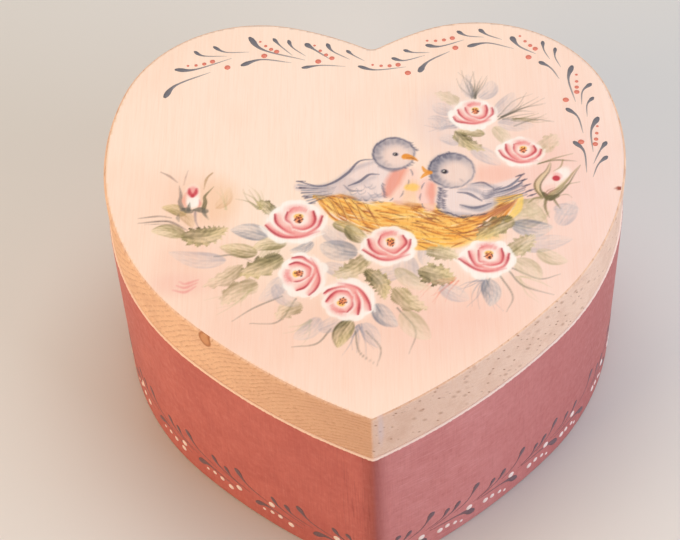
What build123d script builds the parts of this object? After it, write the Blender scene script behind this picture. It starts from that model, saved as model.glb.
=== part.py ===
from build123d import *
import math
import os

# Heart-shaped wooden trinket box with a lift-off lid, in millimetres.
# The front is -Y, where the point of the heart is. +Z is up, and the underside rests on Z = 0.
# The origin is the middle of the box's bounding rectangle, on the underside.

# Stock sizes
BOARD = 19.05            # 3/4 in board: the lid and each of the three wall rings
PANEL = 6.35             # 1/4 in panel: the floor and the locating panel under the lid
WALL = 9.5               # wall thickness left by the inside cut
RING_COUNT = 3

# Heart outline of the lid, sawn by hand, so its two lobes differ a little
CLEFT_POINT = (3.0, 55.8)
TIP_POINT = (1.4, -84.9)
RIGHT_HEADING = 33.0     # degrees above +X in which the cleft's flank leaves the cleft
LEFT_HEADING = 31.4
RIGHT_ARCS = ((101.1, 9.8), (42.7, 98.5), (84.3, 57.7))   # radius, turn in degrees
LEFT_ARCS = ((99.4, 16.1), (43.0, 87.1), (83.8, 63.9))

# Fits and softened edges
RIM_PROUD = 0.5          # how far the walls stand out past the lid
CLEFT_ROUND = 4.0        # saw's turning radius in the cleft
TIP_ROUND = 1.2          # upright edge at the point of the heart
INNER_TIP_ROUND = 6.0    # saw's turning radius inside the point
LID_ARRIS = 0.8          # top edge of the lid
SOFT_ARRIS = 0.5         # lid's lower edge and the box's bottom edge
RIM_ARRIS = 0.9          # rubbed outer edge of the mouth
INSERT_GAP = 0.6         # play between the locating panel and the wall
INSERT_CHAMFER = 1.2     # lead-in round the locating panel

# Panel pins
PIN_DIAMETER = 1.4
PIN_HOLE_DIAMETER = 1.5
PIN_HEAD_DIAMETER = 2.6
PIN_HEAD_THICKNESS = 0.8
PIN_HEAD_POCKET = 2.8
UPRIGHT = (Align.CENTER, Align.CENTER, Align.MIN)
LID_PIN_LENGTH = 15.0
FLOOR_PIN_LENGTH = 18.0
LID_PIN_PLACES = ((-36.0, 34.0), (36.0, 34.0), (-25.0, -18.0), (26.0, -18.0))
FLOOR_PIN_COUNT = 10

# Felt that lines the floor
FELT_THICKNESS = 1.2
FELT_GAP = 0.8

# Heights
FLOOR_TOP = PANEL
RIM_HEIGHT = PANEL + RING_COUNT * BOARD
TOTAL_HEIGHT = RIM_HEIGHT + BOARD
INSERT_BOTTOM = RIM_HEIGHT - PANEL


def heart_side(heading, arcs, side):
    """Tangent arcs from the cleft over one lobe; the last one runs down to the tip."""
    tangent = (side * math.cos(math.radians(heading)), math.sin(math.radians(heading)))
    edges = []
    start = CLEFT_POINT
    for radius, turn in arcs:
        arc = JernArc(start=start, tangent=tangent, radius=radius, arc_size=-side * turn)
        edges.append(arc)
        start = arc @ 1
        tangent = arc % 1
    edges.append(TangentArc(start, TIP_POINT, tangent=tangent))
    return edges


def heart(spread, tip_round):
    """Heart face whose outline is moved outwards by spread, with a rounded tip."""
    face = Sketch() + outline
    if spread:
        face = offset(face, amount=spread, kind=Kind.INTERSECTION if spread > 0 else Kind.ARC)
    return fillet(face.vertices().sort_by(Axis.Y)[0], tip_round)


def slab(face, bottom, thickness):
    """Solid of one face between two heights."""
    return extrude(Pos(0, 0, bottom) * face, amount=thickness)


def outer_edges(solid, height):
    """Edges of a slab's outer outline at one height."""
    level = solid.faces().filter_by(Plane.XY).sort_by_distance((0, 0, height))[0]
    return level.outer_wire().edges()


def pin(head_height, length):
    """Panel pin with a flat head, pointing up, whose head's underside is at head_height."""
    head = Cylinder(PIN_HEAD_DIAMETER / 2, PIN_HEAD_THICKNESS, align=UPRIGHT)
    shank = Cylinder(PIN_DIAMETER / 2, length, align=UPRIGHT)
    point = Cone(PIN_DIAMETER / 2, PIN_DIAMETER / 8, PIN_DIAMETER, align=UPRIGHT)
    return Pos(0, 0, head_height) * (head + shank + Pos(0, 0, length) * point)


def pin_hole(head_height, length):
    """Pilot hole and head pocket for one pin."""
    pilot = Cylinder(PIN_HOLE_DIAMETER / 2, length + 2 * PIN_DIAMETER, align=UPRIGHT)
    pocket = Cylinder(PIN_HEAD_POCKET / 2, PIN_HEAD_THICKNESS, align=UPRIGHT)
    return Pos(0, 0, head_height) * (pilot + pocket)


def at_places(places, solid):
    """One copy of a solid at each place."""
    return [Pos(x, y, 0) * solid for x, y in places]


def write(name, solid, colour):
    """One STEP file for one node."""
    solid.label = name
    solid.color = Color(colour)
    export_step(solid, f"parts/{name}.step")


# The outline, moved so that the box's bounding rectangle is centred on the origin
lobes = heart_side(RIGHT_HEADING, RIGHT_ARCS, 1) + heart_side(LEFT_HEADING, LEFT_ARCS, -1)
outline = make_face(lobes)
outline = fillet(outline.vertices().sort_by_distance((*CLEFT_POINT, 0))[0], CLEFT_ROUND)
bounds = offset(outline, amount=RIM_PROUD, kind=Kind.INTERSECTION).bounding_box()
centre_x = (bounds.min.X + bounds.max.X) / 2
centre_y = (bounds.min.Y + bounds.max.Y) / 2
outline = Pos(-centre_x, -centre_y, 0) * outline

wall_outline = heart(RIM_PROUD, TIP_ROUND)
mouth = heart(RIM_PROUD - WALL, INNER_TIP_ROUND)
pin_line = heart(RIM_PROUD - WALL / 2, INNER_TIP_ROUND).wire()

# Pin places
floor_pin_places = []
for index in range(FLOOR_PIN_COUNT):
    point = pin_line @ ((index + 0.5) / FLOOR_PIN_COUNT)
    floor_pin_places.append((point.X, point.Y))
lid_pin_hole = pin_hole(INSERT_BOTTOM, LID_PIN_LENGTH)
floor_pin_hole = pin_hole(0, FLOOR_PIN_LENGTH)

# Lid
lid_board = slab(heart(0, TIP_ROUND), RIM_HEIGHT, BOARD)
lid_board = fillet(outer_edges(lid_board, TOTAL_HEIGHT), LID_ARRIS)
lid_board = fillet(outer_edges(lid_board, RIM_HEIGHT), SOFT_ARRIS)
lid_board -= at_places(LID_PIN_PLACES, lid_pin_hole)
insert = slab(heart(RIM_PROUD - WALL - INSERT_GAP, INNER_TIP_ROUND), INSERT_BOTTOM, PANEL)
insert = chamfer(outer_edges(insert, INSERT_BOTTOM), INSERT_CHAMFER)
insert -= at_places(LID_PIN_PLACES, lid_pin_hole)
insert_pins = Compound(at_places(LID_PIN_PLACES, pin(INSERT_BOTTOM, LID_PIN_LENGTH)))

# Walls: three sawn rings glued face to face
ring = slab(wall_outline - mouth, 0, BOARD)
lower_ring = Pos(0, 0, FLOOR_TOP) * ring - at_places(floor_pin_places, floor_pin_hole)
middle_ring = Pos(0, 0, FLOOR_TOP + BOARD) * ring
upper_ring = Pos(0, 0, FLOOR_TOP + 2 * BOARD) * ring
upper_ring = fillet(outer_edges(upper_ring, RIM_HEIGHT), RIM_ARRIS)

# Floor and its lining
floor_board = slab(wall_outline, 0, PANEL)
floor_board = fillet(outer_edges(floor_board, 0), SOFT_ARRIS)
floor_board -= at_places(floor_pin_places, floor_pin_hole)
floor_pins = Compound(at_places(floor_pin_places, pin(0, FLOOR_PIN_LENGTH)))
floor_felt = slab(heart(RIM_PROUD - WALL - FELT_GAP, INNER_TIP_ROUND), FLOOR_TOP, FELT_THICKNESS)

os.makedirs("parts", exist_ok=True)
write("lid_board", lid_board, "burlywood")
write("lid_locating_panel", insert, "tan")
write("lid_panel_pins", insert_pins, "gray")
write("wall_upper_ring", upper_ring, "rosybrown")
write("wall_middle_ring", middle_ring, "indianred")
write("wall_lower_ring", lower_ring, "rosybrown")
write("floor_board", floor_board, "peru")
write("floor_pins", floor_pins, "gray")
write("floor_felt", floor_felt, "firebrick")
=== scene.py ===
import math

import bpy
import numpy as np
from mathutils import Matrix, Vector


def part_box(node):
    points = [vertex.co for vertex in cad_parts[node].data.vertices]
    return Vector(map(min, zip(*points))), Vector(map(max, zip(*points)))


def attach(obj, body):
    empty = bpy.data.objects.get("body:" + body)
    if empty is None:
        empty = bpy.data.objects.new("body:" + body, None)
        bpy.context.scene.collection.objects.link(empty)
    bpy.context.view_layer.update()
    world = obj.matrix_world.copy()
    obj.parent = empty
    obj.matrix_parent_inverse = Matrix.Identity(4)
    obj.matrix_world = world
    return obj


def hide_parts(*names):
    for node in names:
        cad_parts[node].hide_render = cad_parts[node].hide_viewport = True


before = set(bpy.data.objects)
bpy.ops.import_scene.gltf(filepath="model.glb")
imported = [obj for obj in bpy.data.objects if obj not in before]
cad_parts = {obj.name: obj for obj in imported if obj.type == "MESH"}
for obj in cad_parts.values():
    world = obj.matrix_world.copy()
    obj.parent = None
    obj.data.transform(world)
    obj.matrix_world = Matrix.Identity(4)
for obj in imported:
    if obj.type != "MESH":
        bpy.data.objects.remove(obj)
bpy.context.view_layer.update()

# Hand-painted heart-shaped wooden box. Lengths are in millimetres in the row frame unless a name says
# otherwise, and MM turns them into Blender's metres. The heart's point is towards -Y.
MM = 0.001
random = np.random.default_rng(20)

LID_LOW, LID_HIGH = (np.array(corner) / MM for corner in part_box("lid_board"))
LID_TOP = LID_HIGH[2]
RIM = LID_LOW[2]


# ---- The heart outline ----
# The lid's outline as tangent arcs of (radius, turn in degrees), from the cleft over each lobe. The last
# arc of each lobe runs on to the tip. The numbers are those of the CAD model.
CLEFT_POINT = (3.0, 55.8)
TIP_POINT = (1.4, -84.9)
RIGHT_LOBE = (1, 33.0, ((101.1, 9.8), (42.7, 98.5), (84.3, 57.7)))
LEFT_LOBE = (-1, 31.4, ((99.4, 16.1), (43.0, 87.1), (83.8, 63.9)))
TIP_ROUND = 1.2
CLEFT_ROUND = 4.0
WALL_PROUD = 0.5
COAT = 0.06
OUTLINE_STEP = 0.6


def lengths_along(line):
    """How far along a line each of its points is."""
    return np.concatenate([[0], np.cumsum(np.linalg.norm(np.diff(line, axis=0), axis=1))])


def at_lengths(places, run, line):
    """The x and y of a line at some lengths along it."""
    return [np.interp(places, run, line[:, k]) for k in (0, 1)]


def arc_points(start, heading, radius, turn):
    """Points and outward normals of an arc that turns clockwise, without its first point."""
    centre = start + radius * np.array([math.sin(heading), -math.cos(heading)])
    count = max(int(radius * turn / OUTLINE_STEP), 2)
    angle = heading - np.linspace(0, turn, count + 1)[1:]
    normals = np.column_stack([-np.sin(angle), np.cos(angle)])
    return centre + radius * normals, normals


def lobe_points(side, heading_degrees, arcs):
    """One half of the heart, from the cleft to the tip."""
    mirror = np.array([side, 1])
    start = CLEFT_POINT * mirror
    heading = math.radians(heading_degrees)
    points = [start[None]]
    normals = [np.array([[-math.sin(heading), math.cos(heading)]])]
    for radius, turn_degrees in arcs:
        turn = math.radians(turn_degrees)
        arc, arc_normals = arc_points(start, heading, radius, turn)
        points.append(arc)
        normals.append(arc_normals)
        start = arc[-1]
        heading -= turn
    chord = TIP_POINT * mirror - start
    inward = np.array([math.sin(heading), -math.cos(heading)])
    radius = chord @ chord / (2 * chord @ inward)
    turn = 2 * math.asin(np.linalg.norm(chord) / 2 / radius)
    arc, arc_normals = arc_points(start, heading, radius, turn)
    points = np.vstack(points + [arc])
    normals = np.vstack(normals + [arc_normals])
    return points * mirror, normals * mirror


def rounded_corner(corner, first_out, last_out, radius):
    """Points and normals of a corner's rounding. radius is positive for a point and negative for a cleft."""
    swing = np.linspace(0, 1, 9)[:, None]
    out = first_out * (1 - swing) + last_out * swing
    out /= np.linalg.norm(out, axis=1)[:, None]
    bisector = first_out + last_out
    centre = corner - bisector * radius / (bisector @ first_out)
    return centre + radius * out, out


def clear_of(corner, radius, points, normals):
    """A lobe without what a corner's rounding replaces."""
    clear = np.linalg.norm(points - corner, axis=1) > radius
    return points[clear], normals[clear]


def heart_outline():
    """The closed outline, clockwise from the cleft, and its outward normals."""
    right, right_out = lobe_points(*RIGHT_LOBE)
    left, left_out = lobe_points(*LEFT_LOBE)
    cleft, cleft_out = rounded_corner(CLEFT_POINT, left_out[0], right_out[0], -CLEFT_ROUND)
    tip, tip_out = rounded_corner(TIP_POINT, right_out[-1], left_out[-1], TIP_ROUND)
    tip_reach = np.linalg.norm(tip[0] - TIP_POINT)
    cleft_reach = np.linalg.norm(cleft[0] - CLEFT_POINT)
    halves = []
    for points, normals in ((right, right_out), (left, left_out)):
        points, normals = clear_of(TIP_POINT, tip_reach + 0.2, points, normals)
        halves.append(clear_of(CLEFT_POINT, cleft_reach + 0.2, points, normals))
    (right, right_out), (left, left_out) = halves
    points = np.vstack([cleft, right, tip, left[::-1]])
    outward = np.vstack([cleft_out, right_out, tip_out, left_out[::-1]])
    shift = (LID_LOW + LID_HIGH)[:2] / 2 - (points.min(0) + points.max(0)) / 2
    return points + shift, outward


OUTLINE, OUTWARD = heart_outline()
CLOSED = np.vstack([OUTLINE, OUTLINE[:1]])
CLOSED_OUTWARD = np.vstack([OUTWARD, OUTWARD[:1]])
LENGTHS = lengths_along(CLOSED)
TIP_LENGTH = LENGTHS[np.argmin(OUTLINE[:, 1])]
PERIMETER = LENGTHS[-1]


def wall_point(along, height, out):
    """The place on the box's wall at a distance along from the tip, positive to the right, in metres."""
    place = np.mod(TIP_LENGTH - np.asarray(along), PERIMETER)
    reach = WALL_PROUD + np.asarray(out)
    spots = zip(at_lengths(place, LENGTHS, CLOSED), at_lengths(place, LENGTHS, CLOSED_OUTWARD))
    x, y = (flat + normal * reach for flat, normal in spots)
    return np.stack([x, y, np.asarray(height) + 0 * x], axis=-1) * MM


def painted_wall(along, height, out):
    """The place on the wall's coat of paint."""
    return wall_point(along, height, COAT + out)


def lid_point(x, y, height):
    """The place above the lid's top, in metres."""
    return np.stack([x, y, LID_TOP + np.asarray(height) + 0 * x], axis=-1) * MM


# ---- Colours, given as they look on a screen ----
GROUND = (255, 231, 213)
CREAM = (255, 247, 236)
WHITE = (255, 250, 244)
ROSE_WHITE = (255, 243, 236)
BLUSH = (251, 206, 196)
PINK = (244, 158, 154)
ROSE = (228, 98, 104)
DEEP_ROSE = (196, 48, 62)
WINE = (132, 30, 40)
CORAL = (236, 122, 96)
DOT_CORAL = (226, 126, 106)
OLIVE = (122, 116, 70)
DARK_OLIVE = (84, 80, 42)
SEPAL = (98, 94, 82)
PALE_OLIVE = (200, 190, 146)
BLUE_GREY = (142, 141, 156)
SLATE = (88, 88, 110)
NAVY = (52, 50, 76)
STROKE_BLUE = (108, 107, 116)
LILAC = (242, 222, 218)
GOLD = (252, 190, 84)
PALE_GOLD = (255, 216, 122)
AMBER = (226, 134, 40)
STRAW_BROWN = (150, 74, 24)
EARTH = (108, 48, 18)
BEAK = (236, 146, 34)
INK = (40, 30, 34)
POLLEN = (72, 18, 16)
BOX_ROSE = (190, 98, 92)
BOX_STROKE = (116, 90, 98)
BOX_WHITE = (255, 232, 226)


def screen(colour):
    """A colour from 0 to 1."""
    return np.array(colour, float) / 255


def linear(colour):
    """Screen colours from 0 to 1 as linear ones."""
    colour = np.clip(colour, 0, 1)
    return np.where(colour < 0.04045, colour / 12.92, ((colour + 0.055) / 1.055) ** 2.4)


def blend_colours(first, second, share):
    """A colour between two others, for one share or an array of them."""
    share = np.asarray(share)[..., None]
    return screen(first) * (1 - share) + screen(second) * share


# ---- A painted surface: colour and paint height on a grid of points ----
def smooth_path(points, step):
    """An even row of points on a smooth curve through a few given ones."""
    points = np.array(points, float)
    ends = np.vstack([2 * points[0] - points[1], points, 2 * points[-1] - points[-2]])
    t = np.linspace(0, 1, 24)[:, None]
    pieces = []
    for a, b, c, d in zip(ends, ends[1:], ends[2:], ends[3:]):
        cubic = 2 * b + (c - a) * t + (2 * a - 5 * b + 4 * c - d) * t**2 + (3 * b - a - 3 * c + d) * t**3
        pieces.append(cubic / 2)
    curve = np.vstack(pieces)
    run = lengths_along(curve)
    even = np.linspace(0, run[-1], max(int(run[-1] / step), 6))
    return np.column_stack(at_lengths(even, run, curve))


def spread_widths(widths, count):
    """Widths along a stroke, evened out from a few given ones."""
    return np.interp(np.linspace(0, 1, count), np.linspace(0, 1, len(widths)), widths)


class Canvas:
    """Paint on a grid of points at xs by ys."""

    def __init__(self, xs, ys, ground):
        self.xs, self.ys = xs, ys
        self.colour = np.ones((len(ys), len(xs), 3)) * screen(ground)
        self.height = np.zeros((len(ys), len(xs)))

    def window(self, low, high):
        """The part of the grid between two corners, and its points."""
        columns = slice(*np.searchsorted(self.xs, (low[0], high[0])))
        rows = slice(*np.searchsorted(self.ys, (low[1], high[1])))
        x, y = np.meshgrid(self.xs[columns], self.ys[rows])
        return (rows, columns), x, y

    def lay(self, part, cover, colour, body):
        """Paint of a colour, which covers and thickens by the share cover."""
        self.colour[part] += (colour - self.colour[part]) * cover[..., None]
        self.height[part] += body * cover

    def near(self, path, radius, margin):
        """For the points near a path: the gap to the stroke's edge, and the places along and across it."""
        reach = radius.max() + margin
        part, x, y = self.window(path.min(0) - reach, path.max(0) + reach)
        dx = x[..., None] - path[:, 0]
        dy = y[..., None] - path[:, 1]
        gaps = np.hypot(dx, dy) - radius
        nearest = gaps.argmin(-1)
        heading = np.gradient(path, axis=0)
        heading /= np.linalg.norm(heading, axis=1)[:, None] + 1e-9
        beside = heading[:, 0] * dy - heading[:, 1] * dx
        beside = np.take_along_axis(beside, nearest[..., None], -1)[..., 0]
        across = beside / np.maximum(radius[nearest], 0.05)
        return part, gaps.min(-1), nearest / (len(path) - 1), np.clip(across, -1, 1)

    def wash(self, centre, radii, colour, opacity, lean=0.0, soft=0.9, body=0.0):
        """A blob of thin paint whose edge fades over the share soft of its size."""
        reach = max(radii) * (1 + soft)
        centre = np.array(centre)
        part, x, y = self.window(centre - reach, centre + reach)
        turn = math.radians(lean)
        dx, dy = x - centre[0], y - centre[1]
        u = (dx * math.cos(turn) + dy * math.sin(turn)) / radii[0]
        v = (dy * math.cos(turn) - dx * math.sin(turn)) / radii[1]
        share = np.clip((1 + soft / 2 - np.hypot(u, v)) / soft, 0, 1)
        self.lay(part, opacity * share * share * (3 - 2 * share), screen(colour), body)

    def brush(self, points, widths, colour, opacity=0.9, fade=0.0, bristle=0.3, soft=0.3, body=0.02):
        """One stroke. fade is how far it has run dry at its end, and bristle how deep its furrows are."""
        path = smooth_path(points, 0.3)
        radius = spread_widths(widths, len(path)) / 2
        part, gap, along, across = self.near(path, radius, soft)
        hairs = np.sin(across * 7 + along * 2 + random.uniform(0, 6))
        hairs = hairs * np.sin(across * 13 + random.uniform(0, 6))
        cover = np.clip(0.5 - gap / soft, 0, 1) * opacity * (1 - fade * along)
        cover = cover * (1 - bristle * (0.5 + 0.5 * hairs))
        self.lay(part, cover, screen(colour), body)

    def leaf(self, base, tip, width, dark, light, opacity=0.9, bend=0.12, teeth=0):
        """A leaf from its stalk to its tip, darker at its stalk, at its edges and down one side."""
        base, tip = np.array(base, float), np.array(tip, float)
        run = tip - base
        middle = (base + tip) / 2 + bend * np.array([-run[1], run[0]])
        path = smooth_path([base, middle, tip], 0.35)
        t = np.linspace(0, 1, len(path))
        radius = width / 2 * np.sin(math.pi * t**0.75) ** 0.8 + 0.02
        part, gap, along, across = self.near(path, radius, 0.5)
        side = np.abs(across)
        shaded = random.choice((-1, 1))
        phase = random.uniform(0, 6, 3)
        streaks = np.sin(across * 11 + phase[0]) * np.sin(across * 5 + along * 6 + phase[1])
        veins = np.sin(along * 34 - side * 9 + phase[2])
        tone = 0.36 + 0.34 * shaded * across + 0.40 * side**3 + 0.20 * streaks
        tone = tone + 0.10 * veins - 0.75 * (along - 0.4)
        if teeth:
            notch = np.mod(along * teeth - side * 0.9, 1)
            gap = gap + width * 0.17 * (notch - 0.3) * (0.2 + side)
            tone = tone + 0.6 * (notch - 0.45) * side
        worn = 0.80 + 0.14 * np.sin(along * 7 + across * 3 + phase[2]) + 0.08 * streaks - 0.15 * along
        cover = np.clip(0.5 - gap / 0.45, 0, 1) * opacity * worn
        self.lay(part, cover, blend_colours(light, dark, np.clip(tone, 0, 1)), 0.012)
        rib = path[: max(int(len(path) * 0.85), 4)]
        rib = rib[:: max(len(rib) // 4, 1)]
        self.brush(rib, (0.45, 0.35, 0.15), dark, opacity * 0.5, fade=0.6, body=0.01)


def towards(angle):
    """A step of length 1 in a direction."""
    return np.array([math.cos(angle), math.sin(angle)])


def turned(point, centre, degrees, size):
    """A point of a small drawing, placed on the lid."""
    angle = math.radians(degrees)
    x = point[0] * math.cos(angle) - point[1] * math.sin(angle)
    y = point[0] * math.sin(angle) + point[1] * math.cos(angle)
    return centre[0] + size * x, centre[1] + size * y


# A rose's red strokes for a size of 1, each as its points, its width and how strong its red is
ROSE_STROKES = (
    (((-0.20, 0.42), (-0.03, 0.53), (0.18, 0.56)), 0.10, 0.5),
    (((0.55, 0.38), (0.60, 0.08), (0.47, -0.20), (0.20, -0.34), (-0.05, -0.24)), 0.15, 0.9),
    (((-0.25, 0.34), (-0.27, 0.08), (-0.17, -0.12), (-0.02, -0.24)), 0.12, 0.7),
    (((-0.60, 0.26), (-0.53, -0.04), (-0.33, -0.30), (-0.05, -0.46)), 0.15, 0.95),
    (((0.82, 0.20), (0.78, -0.08), (0.63, -0.31), (0.36, -0.46)), 0.14, 0.9),
    (((-0.87, -0.10), (-0.66, -0.36), (-0.34, -0.55), (0.05, -0.63), (0.42, -0.55), (0.72, -0.45)),
     0.15, 0.8),
)


def paint_rose(canvas, centre, size, turn):
    """An open rose: scalloped white petals, nested red strokes round a bowl, and a pollen heart."""

    def at(point, shift=0.0):
        """A point of the rose, moved towards its heart by the share shift."""
        x, y = point[0] * (1 - shift), 0.1 + (point[1] - 0.1) * (1 - shift)
        return turned((x, y), centre, turn, size)

    def stroke(points, shift, width, colour, opacity, **style):
        """One curved edge of a petal."""
        profile = np.array([0.55, 1.0, 0.85, 0.6, 0.25]) * width * size
        canvas.brush([at(point, shift) for point in points], profile, colour, opacity, **style)

    canvas.wash(at((0, -0.06)), (size * 0.92, size * 0.82), ROSE_WHITE, 0.8, turn, 0.4)
    for angle in range(0, 360, 24):
        angle += random.uniform(-8, 8)
        reach = random.uniform(0.64, 0.88)
        petal = (reach * math.cos(math.radians(angle)), reach * math.sin(math.radians(angle)) * 0.88 - 0.05)
        radii = (size * random.uniform(0.20, 0.28), size * 0.18)
        canvas.wash(at(petal), radii, WHITE, 0.85, angle + turn + 90, 0.4, 0.02)
    canvas.wash(at((0, -0.1)), (size * 0.70, size * 0.60), BLUSH, 0.65, turn, 0.5)
    canvas.wash(at((0.05, -0.40)), (size * 0.56, size * 0.26), PINK, 0.6, turn, 0.7)
    strokes = []
    for points, width, strength in ROSE_STROKES:
        jitter = random.uniform(-0.05, 0.05, (len(points), 2))
        strokes.append((np.array(points) + jitter, width * random.uniform(0.85, 1.2), strength))
    for points, width, strength in strokes:
        stroke(points, 0.12, width * 1.8, PINK, 0.55, soft=size * 0.12, bristle=0.3, fade=0.3)
    for points, width, strength in strokes:
        stroke(points, -0.17, width * 0.9, WHITE, 0.85, soft=0.5, body=0.03)
    for points, width, strength in strokes:
        stroke(points, 0.03, width * 0.95, ROSE, strength * 0.85, soft=0.6, fade=0.45, bristle=0.4)
        stroke(points, 0.0, width * 0.5, DEEP_ROSE, strength, soft=0.4, fade=0.8)
        stroke(points[: len(points) // 2 + 1], -0.01, width * 0.32, WINE, strength * 0.8, soft=0.35, fade=0.8)
    for share in np.linspace(-0.24, 0.28, 10):
        top = (share + 0.08, 0.58 - share * share + random.uniform(-0.03, 0.03))
        route = [at(top), at((share * 0.9 + 0.08, top[1] - 0.08)), at((share * 0.8 + 0.08, top[1] - 0.17))]
        canvas.brush(route, (0.3, 0.45, 0.15), ROSE, 0.6, fade=0.5, soft=0.35, body=0.01)
    canvas.wash(at((0.04, 0.52)), (size * 0.34, size * 0.16), PINK, 0.45, turn, 1.0)
    paint_pollen(canvas, at, size, turn)


def paint_pollen(canvas, at, size, turn):
    """A rose's heart: a pale bowl, a yellow and orange middle and dark dots in a spiral."""
    canvas.wash(at((0.14, 0.10)), (size * 0.27, size * 0.27), ROSE_WHITE, 0.8, turn, 0.6, 0.02)
    canvas.wash(at((0.11, 0.20)), (size * 0.15, size * 0.11), (255, 196, 92), 0.9, turn, 0.6, 0.03)
    canvas.wash(at((0.11, 0.07)), (size * 0.13, size * 0.14), (236, 128, 74), 0.85, turn, 0.6)
    for index in range(10):
        away = 0.15 * math.sqrt((index + 1) / 10)
        spot = (0.11 + away * math.sin(index * 2.4), 0.10 + away * math.cos(index * 2.4))
        radius = size * random.uniform(0.022, 0.038)
        canvas.wash(at(spot + random.uniform(-0.02, 0.02, 2)), (radius, radius), POLLEN, 0.9, 0, 0.5, 0.05)


def paint_strokes(canvas, strokes, **style):
    """Strokes as (points, widths, colour, opacity), and then the softness of those that have their own."""
    for points, widths, colour, opacity, *soft in strokes:
        own = {"soft": soft[0]} if soft else {}
        canvas.brush(points, widths, colour, opacity, **(style | own))


def halfway(start, end, shift=(0, 0)):
    """The point halfway between two others, moved by shift."""
    return (start[0] + end[0]) / 2 + shift[0], (start[1] + end[1]) / 2 + shift[1]


# How the fine strokes and the soft patches of colour are laid
LINE = {"fade": 0.25, "soft": 0.35, "body": 0.012}
PATCH = {"bristle": 0.1}


def paint_left_bud(canvas):
    """A closed bud that stands up between two long sepals, with two small leaves and grasses at its foot."""
    canvas.wash((-51.4, 5.0), (2.3, 4.6), ROSE_WHITE, 0.7, 0, 0.7)
    canvas.wash((-51.1, 3.0), (2.0, 2.1), WHITE, 0.95, 0, 0.6, 0.02)
    canvas.brush([(-53.4, 6.4), (-53.9, 3.6), (-53.2, 1.0)], (0.6, 1.4, 0.6), CORAL, 0.45, soft=0.9)
    canvas.brush([(-49.3, 3.8), (-49.0, 2.2), (-49.4, 0.8)], (0.3, 0.8, 0.4), ROSE, 0.5, soft=0.5)
    canvas.wash((-51.4, 7.0), (1.6, 2.0), PINK, 0.8, 0, 0.8)
    for side in (-1, 1):
        route = [(-51.4 + side * 1.1, 8.0), (-51.4 + side * 0.9, 6.5), (-51.4 + side * 0.1, 5.3)]
        canvas.brush(route, (0.6, 1.2, 1.1), DEEP_ROSE, 0.9, soft=0.6, body=0.02)
    canvas.leaf((-53.4, -1.8), (-60.4, 1.2), 3.8, (134, 116, 60), (226, 202, 146), 0.9, -0.1)
    canvas.leaf((-54.6, -1.2), (-50.8, -6.8), 3.6, (176, 140, 92), (232, 200, 158), 0.7, 0.1)
    paint_strokes(canvas, (
        (((-54.2, 0.2), (-55.1, 3.1), (-54.9, 5.6), (-55.6, 9.3)), (1.5, 1.2, 0.9, 0.2),
         (134, 120, 112), 0.85),
        (((-47.9, 0.4), (-47.5, 2.9), (-47.7, 5.0), (-46.3, 7.2), (-45.2, 8.7)), (1.4, 1.3, 0.9, 0.5, 0.15),
         DARK_OLIVE, 0.8),
        (((-54.1, 0.4), (-52.8, -0.2), (-51.5, -0.7)), (0.8, 2.2, 1.3), SEPAL, 0.9),
        (((-50.9, -0.2), (-49.0, -0.1), (-47.2, -0.7)), (0.7, 2.0, 1.7), SEPAL, 0.9),
        (((-52.3, -0.2), (-52.3, 1.4), (-52.1, 2.9)), (1.3, 0.9, 0.2), SEPAL, 0.85),
        (((-47.8, -0.8), (-47.3, -2.2), (-46.2, -3.9)), (1.4, 0.8, 0.15), SEPAL, 0.75),
        (((-50.3, -1.0), (-50.1, -4.0), (-49.2, -6.8)), (0.8, 0.7, 0.3), (148, 128, 132), 0.75),
        (((-55.2, -1.6), (-55.4, -3.0), (-55.0, -4.4)), (0.5, 1.2, 0.5), SEPAL, 0.5),
        (((-67.0, -2.9), (-61.0, -2.3), (-57.4, -3.0)), (0.2, 0.6, 0.4), (120, 102, 96), 0.75),
        (((-67.0, -4.8), (-59.6, -4.2), (-56.4, -5.1), (-52.4, -7.9)), (0.2, 0.6, 0.8, 0.25),
         (112, 96, 90), 0.8),
        (((-65.0, -5.4), (-60.0, -5.3), (-57.0, -6.0)), (0.15, 0.4, 0.2), (150, 126, 118), 0.6),
        (((-61.4, 15.0), (-58.6, 13.2), (-56.2, 10.8)), (0.3, 0.8, 0.3), (148, 120, 112), 0.7),
        (((-53.2, 15.5), (-53.8, 12.4), (-54.2, 9.8)), (0.15, 0.4, 0.3), (160, 128, 118), 0.6),
        (((-45.8, 14.2), (-47.4, 12.0), (-48.1, 8.0)), (0.5, 0.8, 0.25), (172, 134, 90), 0.8),
    ), **LINE)


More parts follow.
